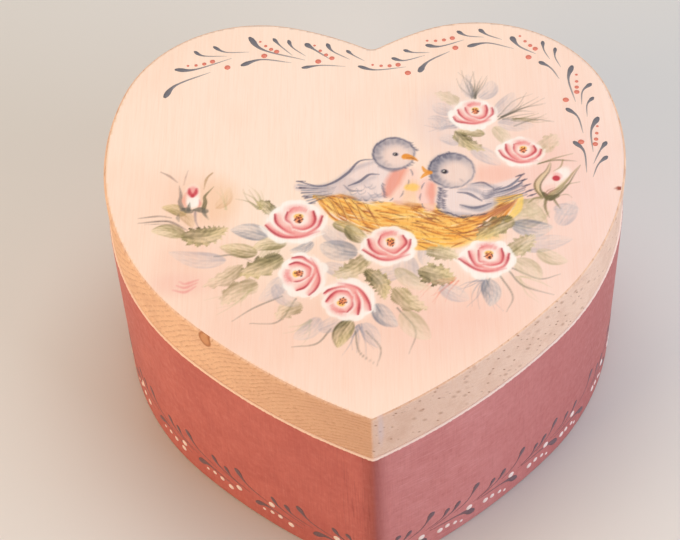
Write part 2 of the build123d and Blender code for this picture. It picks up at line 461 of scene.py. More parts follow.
def paint_right_bud(canvas):
    """A slanting bud half out of its two long sepals, with grasses over it and stalks below."""
    canvas.wash((56.9, 7.6), (5.4, 3.0), (253, 228, 218), 0.95, 53, 0.4)
    canvas.wash((59.4, 11.2), (2.6, 2.0), WHITE, 0.85, 53, 0.9, 0.02)
    canvas.wash((55.0, 4.6), (2.6, 2.0), (250, 204, 190), 0.6, 53, 0.9)
    canvas.wash((57.8, 10.2), (1.2, 1.4), PINK, 0.55, 53, 0.9)
    canvas.wash((57.3, 9.2), (1.15, 1.05), DEEP_ROSE, 0.95, 0, 0.5, 0.03)
    outer = ((52.3, 2.4), (50.9, 5.0), (50.9, 7.7), (52.5, 10.3), (54.4, 12.4), (55.9, 15.6))
    inner = ((53.3, 2.6), (52.4, 5.0), (52.6, 7.2), (53.9, 9.6), (55.4, 12.0), (56.2, 15.2))
    between = [((a + c) / 2, (b + d) / 2) for (a, b), (c, d) in zip(outer, inner)]
    paint_strokes(canvas, (
        (between, (1.1, 1.3, 1.2, 1.0, 0.6, 0.15), (216, 198, 146), 0.85),
        (outer, (0.7, 0.7, 0.6, 0.5, 0.4, 0.15), (112, 96, 54), 0.85),
        (inner, (0.9, 0.6, 0.5, 0.5, 0.4, 0.15), DARK_OLIVE, 0.8),
        (((54.4, 1.9), (57.5, 4.8), (60.3, 8.0), (62.3, 11.0), (64.8, 14.2)), (1.6, 1.3, 0.9, 0.6, 0.12),
         (148, 132, 80), 0.85),
        (((55.2, 1.2), (58.4, 3.9), (61.0, 7.2), (62.9, 10.7), (64.9, 14.1)), (1.1, 0.7, 0.5, 0.35, 0.1),
         DARK_OLIVE, 0.85),
        (((55.4, 3.6), (58.0, 6.4), (60.4, 9.3)), (0.3, 0.5, 0.2), (226, 208, 156), 0.8),
        (((53.2, 3.4), (54.7, 1.6), (57.2, 2.4)), (1.2, 2.3, 1.4), (92, 84, 48), 0.9),
        (((53.6, 2.4), (55.4, 4.1), (57.9, 5.4)), (0.3, 0.6, 0.2), (128, 78, 60), 0.75),
        (((53.4, 3.2), (54.8, 4.7), (56.6, 5.6)), (0.3, 0.5, 0.2), (150, 92, 72), 0.6),
        (((57.2, 3.6), (60.6, 6.7), (64.2, 7.6)), (0.5, 0.5, 0.1), OLIVE, 0.75),
        (((57.4, 2.6), (60.2, 2.8), (61.4, 1.6)), (0.3, 0.35, 0.1), OLIVE, 0.6),
        (((53.9, 1.8), (53.3, -1.9), (54.3, -5.8)), (1.0, 0.8, 0.2), (106, 96, 54), 0.85),
        (((56.0, 1.3), (56.7, -0.4), (57.8, -2.6)), (0.8, 0.7, 0.15), (112, 104, 66), 0.8),
        (((52.8, 1.8), (50.4, 1.6), (48.4, -0.2)), (0.9, 0.7, 0.3), (126, 116, 72), 0.8),
        (((52.2, 15.0), (57.6, 17.2), (63.0, 18.9)), (0.4, 0.5, 0.1), OLIVE, 0.75),
        (((52.6, 15.2), (57.6, 16.4), (64.0, 15.8)), (0.4, 0.6, 0.1), DARK_OLIVE, 0.7),
        (((59.8, 16.4), (58.9, 13.8), (56.8, 12.1)), (0.4, 0.5, 0.15), (150, 130, 80), 0.8),
    ), **LINE)


# The nest's ends, and its rim and keel from left to right
NEST_LEFT, NEST_RIGHT = (-15.5, 4.5), (47, 3.5)
NEST_RIM = [NEST_LEFT, (-8, 4.5), (2, 1.5), (14, 0.5), (26, -3.5), (38, -1.5), NEST_RIGHT]
NEST_KEEL = [NEST_LEFT, (-11, -4), (-2, -10.5), (9, -14.5), (23, -17.3), (36, -13), NEST_RIGHT]
NEST_LINES = [smooth_path(line, 0.5) for line in (NEST_RIM, NEST_KEEL)]


def in_nest(u, v):
    """A place in the nest: u from its left to its right end, v from its rim to its keel."""
    over, under = (np.array(at_lengths(u, np.linspace(0, 1, len(line)), line)) for line in NEST_LINES)
    return over + (under - over) * v


def straw(canvas, u, v, length, slope, width, colour, opacity):
    """One straw from a place in the nest to its right."""
    us = np.clip(np.array([u, u + length / 2, u + length]), 0, 1)
    vs = np.clip(np.array([v, v + slope / 2 + random.uniform(-0.02, 0.02), v + slope]), -0.02, 1.02)
    points = [in_nest(*place) for place in zip(us, vs)]
    canvas.brush(points, (width * 0.5, width, width * 0.3), colour, opacity, fade=0.2, body=0.018)


def weave_nest(canvas):
    """Layers of straws all over the nest."""
    # Each layer's colour, count, width, opacity, and shortest and longest straw
    layers = (
        (PALE_GOLD, 70, 0.9, 0.8, 0.06, 0.20), (AMBER, 90, 0.7, 0.8, 0.05, 0.16),
        (PALE_GOLD, 40, 0.5, 0.9, 0.05, 0.14), (STRAW_BROWN, 90, 0.55, 0.8, 0.03, 0.12),
        (EARTH, 34, 0.42, 0.85, 0.02, 0.08), (CREAM, 22, 0.45, 0.7, 0.04, 0.10),
    )
    for colour, count, width, opacity, shortest, longest in layers:
        for _ in range(count):
            start = random.uniform(0.02, 0.86)
            slope = random.uniform(-0.12, 0.16)
            depth = random.uniform(0, 0.95)
            straw(canvas, start, depth, random.uniform(shortest, longest), slope, width, colour, opacity)


def weave_nest_ends(canvas):
    """Steep straws at the left end, rows of short ones past the middle and dark ones to their right."""
    for index in range(11):
        start, depth = 0.012 + 0.024 * index + random.uniform(-0.008, 0.008), random.uniform(0.0, 0.2)
        length = random.uniform(0.06, 0.13)
        light, shade = (PALE_GOLD, GOLD)[index % 2], (STRAW_BROWN, EARTH)[index % 2]
        straw(canvas, start, depth, length + 0.02, 0.68 - 0.03 * index, 0.9, light, 0.85)
        straw(canvas, start + 0.01, depth, length, random.uniform(0.3, 0.7), 0.45, shade, 0.75)
    for column in range(13):
        for row in range(7):
            start = 0.44 + 0.021 * column + random.uniform(-0.004, 0.004)
            depth = 0.06 + 0.10 * row + random.uniform(-0.02, 0.02)
            shade = (AMBER, STRAW_BROWN)[(column + row) % 2]
            straw(canvas, start, depth, 0.003, random.uniform(0.04, 0.07), 0.3, shade, 0.45)
    for index in range(7):
        straw(canvas, 0.74 + 0.018 * index, 0.15 + 0.08 * index, 0.12, -0.12, 0.5, STRAW_BROWN, 0.7)


def paint_nest(canvas):
    """A shallow straw nest, widest at its rim, with shadows under the birds."""
    for index in range(26):
        straw(canvas, 0.01, index / 25, 0.98, 0.0, 1.5, GOLD, 0.9)
    canvas.wash((24, -13), (14, 3.4), (252, 186, 66), 0.75, 2, 0.8)
    canvas.wash((2, -6), (9, 4), (255, 204, 112), 0.5, -30, 0.8)
    weave_nest(canvas)
    weave_nest_ends(canvas)
    paint_strokes(canvas, (
        (((32, -4.6), (38, -3.6), (43.6, -0.6)), (1.4, 2.6, 1.2), (206, 124, 80), 0.5, 0.8),
        (((34, -3.8), (39, -2.6), (43.2, 0.2)), (0.4, 0.8, 0.3), (150, 74, 48), 0.45, 0.6),
        (((46.4, 2.2), (45.2, -2.2), (41.8, -6.6)), (1.6, 2.6, 1.6), (255, 214, 100), 0.85, 0.6),
        (((9, 1.5), (12.5, 0.7), (16.5, -0.2)), (0.8, 1.6, 0.8), (196, 116, 66), 0.75, 0.8),
        (((9.5, 0.9), (13, 0.0), (17, -0.8)), (0.3, 0.7, 0.3), STRAW_BROWN, 0.8),
        (((-8, 5.2), (-3, 3.2), (3, 2.4)), (0.5, 1.4, 0.5), (176, 110, 50), 0.55, 0.7),
    ))


def paint_head(canvas, centre, size, depth, shade_from):
    """A fluffy round head. shade_from is the direction, in degrees, of its dark side."""
    dark_side = towards(math.radians(shade_from))
    canvas.wash(centre, (size, size), (208, 194, 194), 0.97, 0, 0.12, 0.02)
    canvas.wash(centre + dark_side * size * 0.12, (size * 0.86, size * 0.86), BLUE_GREY, 0.75 * depth, 0, 0.5)
    canvas.wash(centre - dark_side * size * 0.22, (size * 0.72, size * 0.70), (249, 222, 210), 0.92, 0, 0.9)
    for index in range(110):
        angle = index * 360 / 110 + random.uniform(-3, 3)
        dark = 0.5 + 0.5 * math.cos(math.radians(angle - shade_from))
        direction = towards(math.radians(angle))
        start = centre + direction * size * random.uniform(0.93, 1.0)
        along = np.array([-direction[1], direction[0]]) * size * 0.16
        end = start + along - direction * size * 0.05
        route = [start, (start + end) / 2, end]
        canvas.brush(route, (0.2, 0.5, 0.2), SLATE, 0.2 + 0.45 * dark, soft=0.4, body=0.008)
    for index in range(70):
        angle = shade_from + random.normal(0, 55)
        reach = random.uniform(0.72, 0.96)
        direction = towards(math.radians(angle))
        start = centre + direction * size * reach
        end = start - direction * size * 0.14 + random.uniform(-0.5, 0.5, 2)
        route = [start, (start + end) / 2, end]
        canvas.brush(route, (0.3, 0.7, 0.3), SLATE, 0.22 * depth + 0.08, soft=0.8, body=0.004)


def paint_eye(canvas, centre, size):
    """A round dark eye with a catch light."""
    canvas.wash(centre, (size * 1.5, size * 1.2), SLATE, 0.7, -15, 0.5)
    canvas.wash(centre, (size, size), INK, 0.95, 0, 0.3, 0.03)
    glint = (centre[0] - size * 0.3, centre[1] + size * 0.25)
    canvas.wash(glint, (size * 0.32, size * 0.32), WHITE, 0.95, 0, 0.4, 0.02)


def paint_feathers(canvas, rows, colour, opacity):
    """Short ticks in rows, each row a (start, end, count, tick) with tick the stroke of one feather."""
    for start, end, count, tick in rows:
        for share in np.linspace(0, 1, count):
            at = np.array(start) * (1 - share) + np.array(end) * share + random.uniform(-0.25, 0.25, 2)
            tip = at + np.array(tick) * random.uniform(0.8, 1.2)
            bow = (at + tip) / 2 + np.array([tick[1], -tick[0]]) * 0.18
            canvas.brush([at, bow, tip], (0.25, 0.6, 0.2), colour, opacity, fade=0.3, body=0.01)


def paint_scallops(canvas, rows, colour, opacity):
    """Rows of small feather edges, each row a (start, end, count, size)."""
    for start, end, count, size in rows:
        for share in np.linspace(0, 1, count):
            at = np.array(start) * (1 - share) + np.array(end) * share + random.uniform(-0.6, 0.6, 2)
            shape = ((0, 0), (0.35, -0.45), (0.9, -0.2), (1, 0.15))
            route = [at + (size * x, size * y) for x, y in shape]
            canvas.brush(route, (0.25, 0.55, 0.45, 0.15), colour, opacity, fade=0.3, body=0.01)


def paint_ticks(canvas, ticks, shift, opacity):
    """Short bowed strokes down a breast."""
    for start, end in ticks:
        canvas.brush([start, halfway(start, end, (shift, 0)), end], (0.3, 0.5, 0.2), SLATE, opacity)


def paint_left_bird(canvas):
    """The bird that looks to the right."""
    paint_strokes(canvas, (
        (((6, 15), (-1, 12), (-8, 7.6)), (9, 9, 4), LILAC, 0.9, 1.2),
        (((6, 12), (4, 7.5), (1, 5)), (9, 10, 8), LILAC, 0.9, 1.2),
        (((-5, 8.5), (-12, 6.3), (-19.5, 8)), (5.5, 4.4, 3.0), (224, 206, 204), 0.8, 1.0),
    ), **PATCH)
    paint_strokes(canvas, (
        (((3, 17.2), (-3, 14.6), (-9, 9.6), (-15, 7.8)), (0.8, 1.7, 1.7, 1.0), BLUE_GREY, 0.40, 1.4),
        (((3, 11.2), (-2, 9.2), (-5, 7.4)), (1.2, 2.0, 1.2), BLUE_GREY, 0.30, 1.4),
        (((-2.5, 8.5), (1.0, 8.6), (3.0, 6.4)), (1.0, 1.6, 1.0), BLUE_GREY, 0.16, 1.4),
        (((6.5, 4.0), (0, 3.2), (-6, 5.2)), (1.2, 1.8, 1.2), BLUE_GREY, 0.35, 1.2),
    ))
    paint_strokes(canvas, (
        (((14.2, 13), (13.2, 7), (10.5, 2.5)), (3.4, 5.5, 5), (252, 212, 198), 0.75, 1.4),
        (((10.8, 14), (8.8, 9.5), (6.8, 4.5)), (4.0, 4.6, 2.6), CORAL, 0.62, 1.8),
    ), **PATCH)
    paint_strokes(canvas, (
        (((3, 18.3), (-1.5, 17.6), (-5, 13), (-9.5, 9.3), (-14, 8.1), (-20, 10.3)),
         (0.2, 0.7, 0.9, 0.8, 0.7, 0.3), SLATE, 0.85),
        (((-4.8, 8.0), (-1.5, 9.6), (1.5, 12.2), (4.5, 12.2)), (0.3, 0.9, 0.9, 0.2), SLATE, 0.85),
        (((-6.2, 8.3), (-4.2, 6.2), (-1, 5.9)), (0.3, 0.8, 0.3), SLATE, 0.55),
    ))
    paint_scallops(canvas, [
        ((-4.8, 7.2), (1.6, 7.8), 4, 2.4), ((-4.4, 5.4), (3.2, 5.8), 4, 2.6),
        ((-3.0, 3.8), (3.6, 3.9), 4, 2.3),
    ], BLUE_GREY, 0.5)
    paint_feathers(canvas, [
        ((5.2, 9), (5.6, 4), 8, (0.9, -0.8)), ((-6, 3.4), (4, 2.0), 6, (1.6, -0.3)),
    ], SLATE, 0.7)
    paint_left_tail(canvas)
    paint_left_face(canvas)


def paint_left_tail(canvas):
    """Long feathers with dark tips over the nest's left end."""
    for share in np.linspace(0, 1, 8):
        start = (-8.5 - share * 1.5, 7.9 - share * 3.6)
        end = (-20.2 + share * 3.6 + random.uniform(-0.5, 0.5), 8.8 - share * 7.4)
        bend = halfway(start, end, (0, 0.5 * share - 0.5))
        canvas.brush([start, bend, end], (0.15, 0.5, 0.65), (BLUE_GREY, SLATE)[round(share * 7) % 2], 0.75)
    for end in ((-20.4, 10.2), (-20.3, 7.6), (-18.6, 4.2), (-17.4, 1.6)):
        route = [(end[0] + 2.6, end[1] - 0.1), (end[0] + 1.2, end[1] - 0.1), end]
        canvas.brush(route, (0.3, 0.6, 0.3), NAVY, 0.8)


def paint_left_face(canvas):
    """The head with its closed beak, and the breast under it."""
    paint_head(canvas, np.array((9.0, 20.4)), 6.6, 0.4, 130)
    canvas.brush([(4.5, 15.4), (8.5, 13.7), (12.6, 14.9)], (0.4, 1.2, 0.4), SLATE, 0.6, soft=1.0)
    paint_feathers(canvas, [
        ((13.6, 25.0), (15.4, 21.6), 5, (1.2, -0.3)), ((14.2, 17.0), (12.2, 15.0), 4, (0.9, -0.5)),
    ], SLATE, 0.75)
    paint_eye(canvas, (9.5, 20.1), 0.62)
    canvas.wash((12.9, 19.3), (1.2, 0.95), AMBER, 0.75, -20, 0.6)
    canvas.brush([(12.3, 19.0), (13.8, 18.8), (15.2, 18.1), (16.2, 17.3)], (2.0, 2.0, 1.2, 0.3), BEAK, 0.95)
    canvas.brush([(13.0, 18.5), (14.5, 18.4), (16.1, 17.3)], (0.3, 0.5, 0.2), STRAW_BROWN, 0.8)
    paint_ticks(canvas, (
        ((13.9, 13.9), (14.5, 11.4)), ((13.3, 9.8), (12.7, 7.0)), ((11.6, 5.4), (10.6, 3.2)),
        ((8.4, 2.8), (7.4, 1.8)),
    ), 0.2, 0.75)


def paint_right_bird(canvas):
    """The chick that looks to the left with its beak open."""
    paint_strokes(canvas, (
        (((14.4, 8.0), (14.2, 4.5), (13.6, 1.5)), (3.5, 5.0, 5.0), (250, 206, 158), 0.55, 1.6),
        (((13.0, 6.9), (14.4, 6.9), (15.9, 6.6)), (2.2, 2.9, 2.2), (255, 206, 92), 0.9, 0.8),
    ))
    paint_strokes(canvas, (
        (((18.6, 8.4), (18.2, 3.5), (19.2, -1)), (4, 5.5, 3.5), BLUSH, 0.85, 1.2),
        (((20.2, 7.6), (19.9, 4.5), (20.2, 1)), (2.4, 2.8, 1.6), CORAL, 0.5, 1.8),
    ), **PATCH)
    canvas.wash((30, 0.8), (9, 5.4), LILAC, 0.97, -4, 0.3, 0.02)
    paint_strokes(canvas, (
        (((33, 5.2), (38, 4.5), (45, 8.5)), (6, 5, 2.5), LILAC, 0.9, 1.0),
        (((24, 6), (24, 0), (27, -3)), (4.5, 5, 4), LILAC, 0.9, 1.2),
    ), **PATCH)
    paint_strokes(canvas, (
        (((22.8, 6), (22.6, 1), (25, -3.4), (31, -4.2)), (1.4, 1.9, 1.7, 1.0), BLUE_GREY, 0.5, 1.2),
        (((31, 7.4), (36, 7.0), (41, 5.6)), (1.0, 1.8, 1.0), BLUE_GREY, 0.5, 1.2),
        (((29, -1), (34, -2.0), (39, 0)), (1.2, 2.4, 1.0), BLUE_GREY, 0.6, 1.2),
        (((28.5, 5.6), (32.5, 5.4), (36.5, 2.4)), (0.8, 1.8, 0.8), BLUE_GREY, 0.5, 1.2),
        (((38, 3.4), (43, 4.6), (47, 7.0)), (1.4, 2.2, 1.0), BLUE_GREY, 0.4, 1.0),
        (((32, 7.8), (35.5, 8.1), (38.5, 5.8)), (0.3, 0.8, 0.4), SLATE, 0.75),
        (((27.6, 4.6), (31, 3.9), (34.8, 1.0)), (0.3, 1.1, 0.4), SLATE, 0.8),
        (((28.2, -0.3), (32.5, -1.6), (37.5, 0)), (0.3, 1.1, 0.4), SLATE, 0.75),
        (((38.6, 5.0), (43.5, 6.8), (47.8, 11.4)), (0.4, 0.9, 0.3), SLATE, 0.85),
        (((39.4, 4.2), (44.5, 5.8), (48.0, 9.2)), (0.3, 0.9, 0.4), SLATE, 0.7),
    ))
    paint_right_tail(canvas)
    paint_right_face(canvas)


def paint_right_tail(canvas):
    """Tail feathers with dark tips, and rows of small feathers on the body and the wing."""
    for share in np.linspace(0, 1, 7):
        start = (35 + share, 3.4 - share * 3.4)
        end = (46.5 + share * 2.0 + random.uniform(-0.6, 0.6), 8.6 - share * 5.4)
        bend = halfway(start, end, (0, -0.8))
        canvas.brush([start, bend, end], (0.15, 0.5, 0.5), (BLUE_GREY, SLATE)[round(share * 6) % 2], 0.7)
    for end in ((47.9, 11.2), (48.6, 9.2), (49.6, 7.2), (50.6, 5.2), (51.0, 3.4)):
        route = [(end[0] - 2.6, end[1] - 1.0), (end[0] - 1.3, end[1] - 0.5), end]
        canvas.brush(route, (0.3, 0.65, 0.3), NAVY, 0.85)
    paint_feathers(canvas, [
        ((22.2, 7.0), (21.3, -1.2), 14, (1.3, -0.5)), ((21.9, -2.2), (28.5, -4.9), 11, (1.5, -0.5)),
        ((28.6, -5.0), (35, -4.3), 8, (1.3, 0.5)), ((23.4, 5.6), (22.8, -0.8), 9, (1.1, -0.4)),
    ], NAVY, 0.7)
    for share in np.linspace(0, 1, 6):
        start = (34.0 + share * 1.5, 1.6 + share * 3.2)
        end = (38.6 + share * 2.4, 3.0 + share * 3.6)
        bend = halfway(start, end, (0, -0.4))
        canvas.brush([start, bend, end], (0.2, 0.5, 0.2), SLATE, 0.6, body=0.01)


def paint_right_face(canvas):
    """The head with its open beak, and the breast under it."""
    paint_head(canvas, np.array((26.3, 13.2)), 7.1, 0.85, 140)
    paint_feathers(canvas, [
        ((20.2, 16.0), (25.8, 19.8), 9, (-0.5, 1.0)), ((20.2, 9.4), (20.0, 14.6), 6, (-0.8, 0.5)),
    ], SLATE, 0.75)
    paint_eye(canvas, (24.1, 12.8), 0.78)
    paint_strokes(canvas, (
        (((19.9, 12.6), (18.4, 13.2), (17.5, 14.9)), (1.2, 1.4, 0.5), BEAK, 0.95),
        (((19.9, 12.4), (18.4, 11.9), (17.0, 10.5)), (1.2, 1.3, 0.5), BEAK, 0.95),
    ))
    paint_ticks(canvas, (
        ((17.9, 8.4), (17.0, 6.0)), ((16.8, 4.2), (16.5, 1.8)), ((17.0, 0.4), (17.8, -1.4)),
    ), -0.2, 0.7)


# Kinds of leaf as dark colour, light colour and opacity
LEAF_KINDS = {
    "dark": ((78, 72, 34), (216, 198, 142), 0.92),
    "olive": ((112, 102, 54), (232, 214, 168), 0.84),
    "fern": ((120, 108, 62), (236, 216, 180), 0.66),
    "pale": ((170, 158, 112), (238, 220, 190), 0.62),
    "tan": ((206, 160, 110), (244, 208, 168), 0.45),
    "blue": ((106, 114, 132), (220, 210, 206), 0.8),
    "mist": ((164, 162, 176), (234, 216, 210), 0.55),
}
KINDS_ON_TOP = ("dark", "olive")
# Leaves as stalk, tip, width, kind and teeth
LEAVES = (
    ((-53.4, -10.2), (-40.4, -7.2), 7.4, "dark", 9), ((-53.5, -9.5), (-63.0, -7.8), 5.0, "olive", 0),
    ((-29.0, -10.5), (-39.5, -8.0), 6.0, "blue", 0),
    ((-27.5, -1.5), (-32.0, 2.5), 4.5, "dark", 4), ((-32.0, -17.0), (-42.5, -14.3), 5.2, "olive", 0),
    ((-23.5, -13.5), (-33.0, -15.5), 5.0, "olive", 0), ((-41.0, -19.5), (-57.5, -16.0), 6.0, "mist", 0),
    ((-25.0, -19.0), (-36.5, -25.0), 7.5, "dark", 5), ((-36.0, -21.5), (-47.0, -28.8), 5.5, "fern", 4),
    ((-32.0, -28.5), (-41.5, -35.5), 7.0, "fern", 5), ((-24.0, -26.5), (-30.5, -34.5), 5.5, "mist", 0),
    ((-19.0, -36.5), (-25.5, -41.0), 5.5, "fern", 4), ((-13.5, -41.5), (-20.5, -48.0), 5.5, "mist", 0),
    ((-3.5, -17.5), (-13.0, -14.5), 7.5, "blue", 0), ((-15.5, -13.5), (-22.0, -16.5), 3.5, "blue", 0),
    ((-6.5, -13.0), (-12.0, -7.0), 5.5, "mist", 0), ((0.5, -19.5), (-9.5, -26.0), 6.5, "olive", 6),
    ((0.5, -24.5), (5.5, -35.0), 6.0, "dark", 8), ((3.0, -37.0), (9.0, -44.5), 5.5, "blue", 0),
    ((8.5, -31.5), (17.5, -38.5), 6.5, "olive", 4), ((11.5, -19.5), (15.0, -30.0), 7.5, "mist", 0),
    ((11.0, -40.0), (18.0, -49.0), 7.0, "pale", 0), ((-4.5, -42.5), (-8.0, -51.5), 5.5, "dark", 0),
    ((-0.5, -43.5), (3.5, -52.0), 4.5, "mist", 0), ((16.5, -25.0), (25.5, -28.0), 8.0, "dark", 7),
    ((18.5, -17.5), (27.5, -20.0), 5.5, "olive", 6), ((18.0, -15.0), (17.0, -23.0), 4.5, "mist", 0),
    ((43.0, -6.5), (32.5, -13.5), 7.0, "dark", 6), ((42.5, -19.0), (49.5, -12.5), 6.5, "olive", 7),
    ((44.5, -8.5), (54.5, -3.0), 7.0, "pale", 0), ((56.5, -2.6), (63.2, -3.0), 4.6, "mist", 0),
    ((45.5, -17.0), (60.5, -14.0), 6.0, "mist", 0), ((44.0, -22.0), (50.5, -28.5), 6.0, "pale", 0),
    ((50.5, -18.5), (58.5, -22.5), 5.0, "pale", 0), ((35.0, -29.0), (35.5, -38.0), 5.5, "blue", 0),
    ((46.5, 1.0), (53.5, -9.0), 5.0, "pale", 0), ((33.5, 42.5), (33.0, 53.0), 4.0, "mist", 6),
    ((36.5, 43.0), (40.0, 49.5), 5.5, "mist", 0), ((29.0, 40.5), (22.0, 45.0), 4.5, "pale", 4),
    ((41.0, 36.0), (46.5, 44.5), 5.5, "mist", 0), ((41.5, 32.0), (52.0, 30.5), 5.0, "mist", 0),
    ((28.0, 28.5), (36.5, 21.0), 5.0, "dark", 5), ((36.5, 27.5), (28.0, 29.0), 3.5, "olive", 0),
    ((40.0, 30.0), (44.0, 22.0), 4.5, "pale", 0), ((54.0, 21.0), (58.5, 26.5), 6.0, "pale", 4),
    ((33.0, 21.5), (41.0, 15.0), 5.5, "mist", 0), ((24.0, 30.5), (20.0, 34.5), 5.0, "mist", 0),
    ((29.5, 34.0), (22.0, 29.0), 4.0, "mist", 0), ((-44.0, 0.5), (-40.5, 8.5), 3.6, "tan", 0),
    ((-5.0, -8.0), (1.0, -13.5), 5.0, "dark", 0), ((-9.0, -6.5), (-1.0, -11.5), 4.5, "olive", 0),
    ((-12.0, -22.0), (-3.0, -28.5), 5.0, "mist", 0), ((2.0, -28.0), (12.0, -25.0), 5.5, "mist", 0),
    ((9.0, -24.0), (19.0, -31.5), 5.0, "pale", 0), ((22.0, -31.0), (29.5, -35.5), 5.5, "mist", 0),
    ((-26.0, -29.0), (-19.0, -36.5), 5.0, "mist", 0), ((-13.0, -45.0), (-6.5, -39.0), 5.0, "mist", 0),
    ((-30.0, -20.0), (-24.5, -12.0), 5.0, "pale", 0), ((44.5, -3.0), (53.5, 1.0), 6.5, "pale", 0),
    ((44.0, -8.5), (55.0, -9.5), 6.5, "blue", 0), ((57.5, -8.0), (61.8, 0.2), 6.2, "mist", 0),
    ((27.0, 37.0), (21.5, 40.0), 5.0, "mist", 0), ((28.5, 24.0), (22.5, 26.5), 4.0, "mist", 0),
)

# Roses as centre, size and turn in degrees
ROSES = (
    ((-20.6, -5.4), 9.6, 0), ((-18.4, -25.6), 8.2, 100), ((-5.4, -35.2), 8.4, 145), ((6.6, -15.0), 8.6, 4),
    ((34.9, -20.4), 8.5, -4), ((33.6, 36.2), 7.4, 4), ((47.2, 20.2), 7.2, -8),
)


def paint_grasses(canvas):
    """Thin stems fanned from a few roots, and longer tendrils."""
    # Each fan's root, count of stems, first and last direction in degrees, length and colour
    fans = (
        ((-31, 0), 6, 100, 155, 9, OLIVE), ((-30, 1), 4, 95, 140, 9, PALE_OLIVE),
        ((-41, 0), 3, 85, 120, 9, PALE_OLIVE), ((34, 43), 14, 58, 122, 10.5, SEPAL),
        ((42, 34), 10, 0, 52, 15, SEPAL), ((46, 33), 5, -12, 20, 10, OLIVE),
        ((34, -28), 8, 190, 300, 12, BLUE_GREY), ((44, -28), 5, 295, 345, 10, PALE_OLIVE),
        ((-2, -44), 9, 215, 320, 11, BLUE_GREY), ((-16, -42), 6, 190, 260, 9, PALE_OLIVE),
        ((26, -28), 7, 205, 245, 11, CORAL), ((-33, -30), 6, 190, 250, 12, PALE_OLIVE),
        ((29, 31), 5, 150, 200, 10, BLUE_GREY),
    )
    for root, count, low, high, length, colour in fans:
        for index in range(count):
            angle = math.radians(low + (high - low) * (index + random.uniform(0.2, 0.8)) / count)
            reach = length * random.uniform(0.6, 1.1)
            direction = towards(angle)
            bow = np.array([-direction[1], direction[0]]) * reach * random.uniform(-0.14, 0.14)
            start = np.array(root) + random.uniform(-0.8, 0.8, 2)
            points = [start, start + direction * reach * 0.55 + bow, start + direction * reach]
            canvas.brush(points, (0.5, 0.4, 0.12), colour, 0.62, fade=0.4, bristle=0.4, soft=0.35, body=0.008)
    tendrils = (
        ((35.9, -27.8), (34.2, -32.2), (36.0, -34.4)), ((38.7, -27.0), (42.0, -34.5), (40.0, -40.0)),
        ((41.5, -25.6), (45.3, -31.0), (53.7, -34.4)), ((42.5, -24.5), (50.0, -28.5), (56.0, -27.0)),
        ((-44.0, -18.0), (-38.0, -17.5), (-33.0, -20.0)), ((-24.0, -33.0), (-32.0, -37.0), (-38.0, -41.5)),
        ((-20.0, -34.0), (-25.0, -42.0), (-33.0, -42.5)), ((-10.0, -45.0), (-14.0, -50.0), (-21.0, -51.0)),
        ((-3.0, -46.0), (-2.0, -53.0), (2.0, -57.0)), ((0.0, -46.0), (4.0, -52.0), (3.0, -58.0)),
        ((9.0, -38.0), (14.0, -46.0), (12.0, -54.0)), ((46.0, 30.5), (52.0, 33.0), (58.0, 32.0)),
    )
    for route in tendrils:
        canvas.brush(route, (0.55, 0.6, 0.25), SEPAL, 0.62, fade=0.4, bristle=0.35, soft=0.35, body=0.008)


def paint_leaves(canvas, on_top):
    """The leaves that lie over the nest, or else the others."""
    for base, tip, width, kind, teeth in LEAVES:
        if (kind in KINDS_ON_TOP) == on_top:
            dark, light, opacity = LEAF_KINDS[kind]
            canvas.leaf(base, tip, width, dark, light, opacity, random.uniform(-0.15, 0.15), teeth)


def paint_lid(canvas):
    """Everything on the lid but its border, from the palest washes to the last dots."""
    washes = (
        ((0, -45), (60, 26), (249, 202, 184), 0.38), ((60, 12), (26, 48), (248, 212, 210), 0.45),
        ((-60, -8), (20, 22), (251, 212, 190), 0.25), ((-50, 2), (10, 11), (249, 200, 172), 0.34),
        ((10, 48), (64, 26), (255, 230, 214), 0.55), ((-48, -22), (14, 10), (247, 196, 180), 0.30),
        ((40, 10), (22, 18), (249, 200, 186), 0.32), ((24, -36), (22, 12), (248, 198, 184), 0.35),
        ((33, 33), (18, 16), (252, 226, 212), 0.6), ((-10, -28), (34, 20), (251, 226, 206), 0.45),
        ((39, 11.4), (7, 3.6), (246, 178, 156), 0.42), ((58, -8), (16, 26), (248, 206, 196), 0.35),
        ((25, 33), (9, 12), (236, 212, 208), 0.5), ((20, -45), (22, 12), (247, 200, 186), 0.3),
        ((-44, 3), (6, 8), (244, 202, 162), 0.4), ((-54, -28), (8, 4), (246, 190, 178), 0.3),
        ((28, -14), (34, 16), (251, 224, 206), 0.4), ((-28, -42), (20, 10), (250, 208, 192), 0.3),
    )
    for centre, radii, colour, opacity in washes:
        canvas.wash(centre, radii, colour, opacity, 0, 1.2)
    paint_grasses(canvas)
    paint_leaves(canvas, on_top=False)
    paint_nest(canvas)
    paint_leaves(canvas, on_top=True)
    paint_left_bird(canvas)
    paint_right_bird(canvas)
    for centre, size, turn in ROSES:
        paint_rose(canvas, centre, size, turn)
    paint_left_bud(canvas)
    paint_right_bud(canvas)
    # Three pale red strokes at the lower left, and a dark drop near the right edge
    for lift in (0, 1.6, 3.0):
        middle = (-52, -30.8 + lift)
        route = [(-55.5 + lift * 0.6, -30 + lift), middle, (-49 + lift * 0.2, -28.8 + lift * 0.8)]
        canvas.brush(route, (0.3, 0.9, 0.3), ROSE, 0.42, soft=0.6)
    canvas.wash((75.6, 4.8), (1.0, 0.75), (152, 62, 42), 0.9, 0, 0.5)


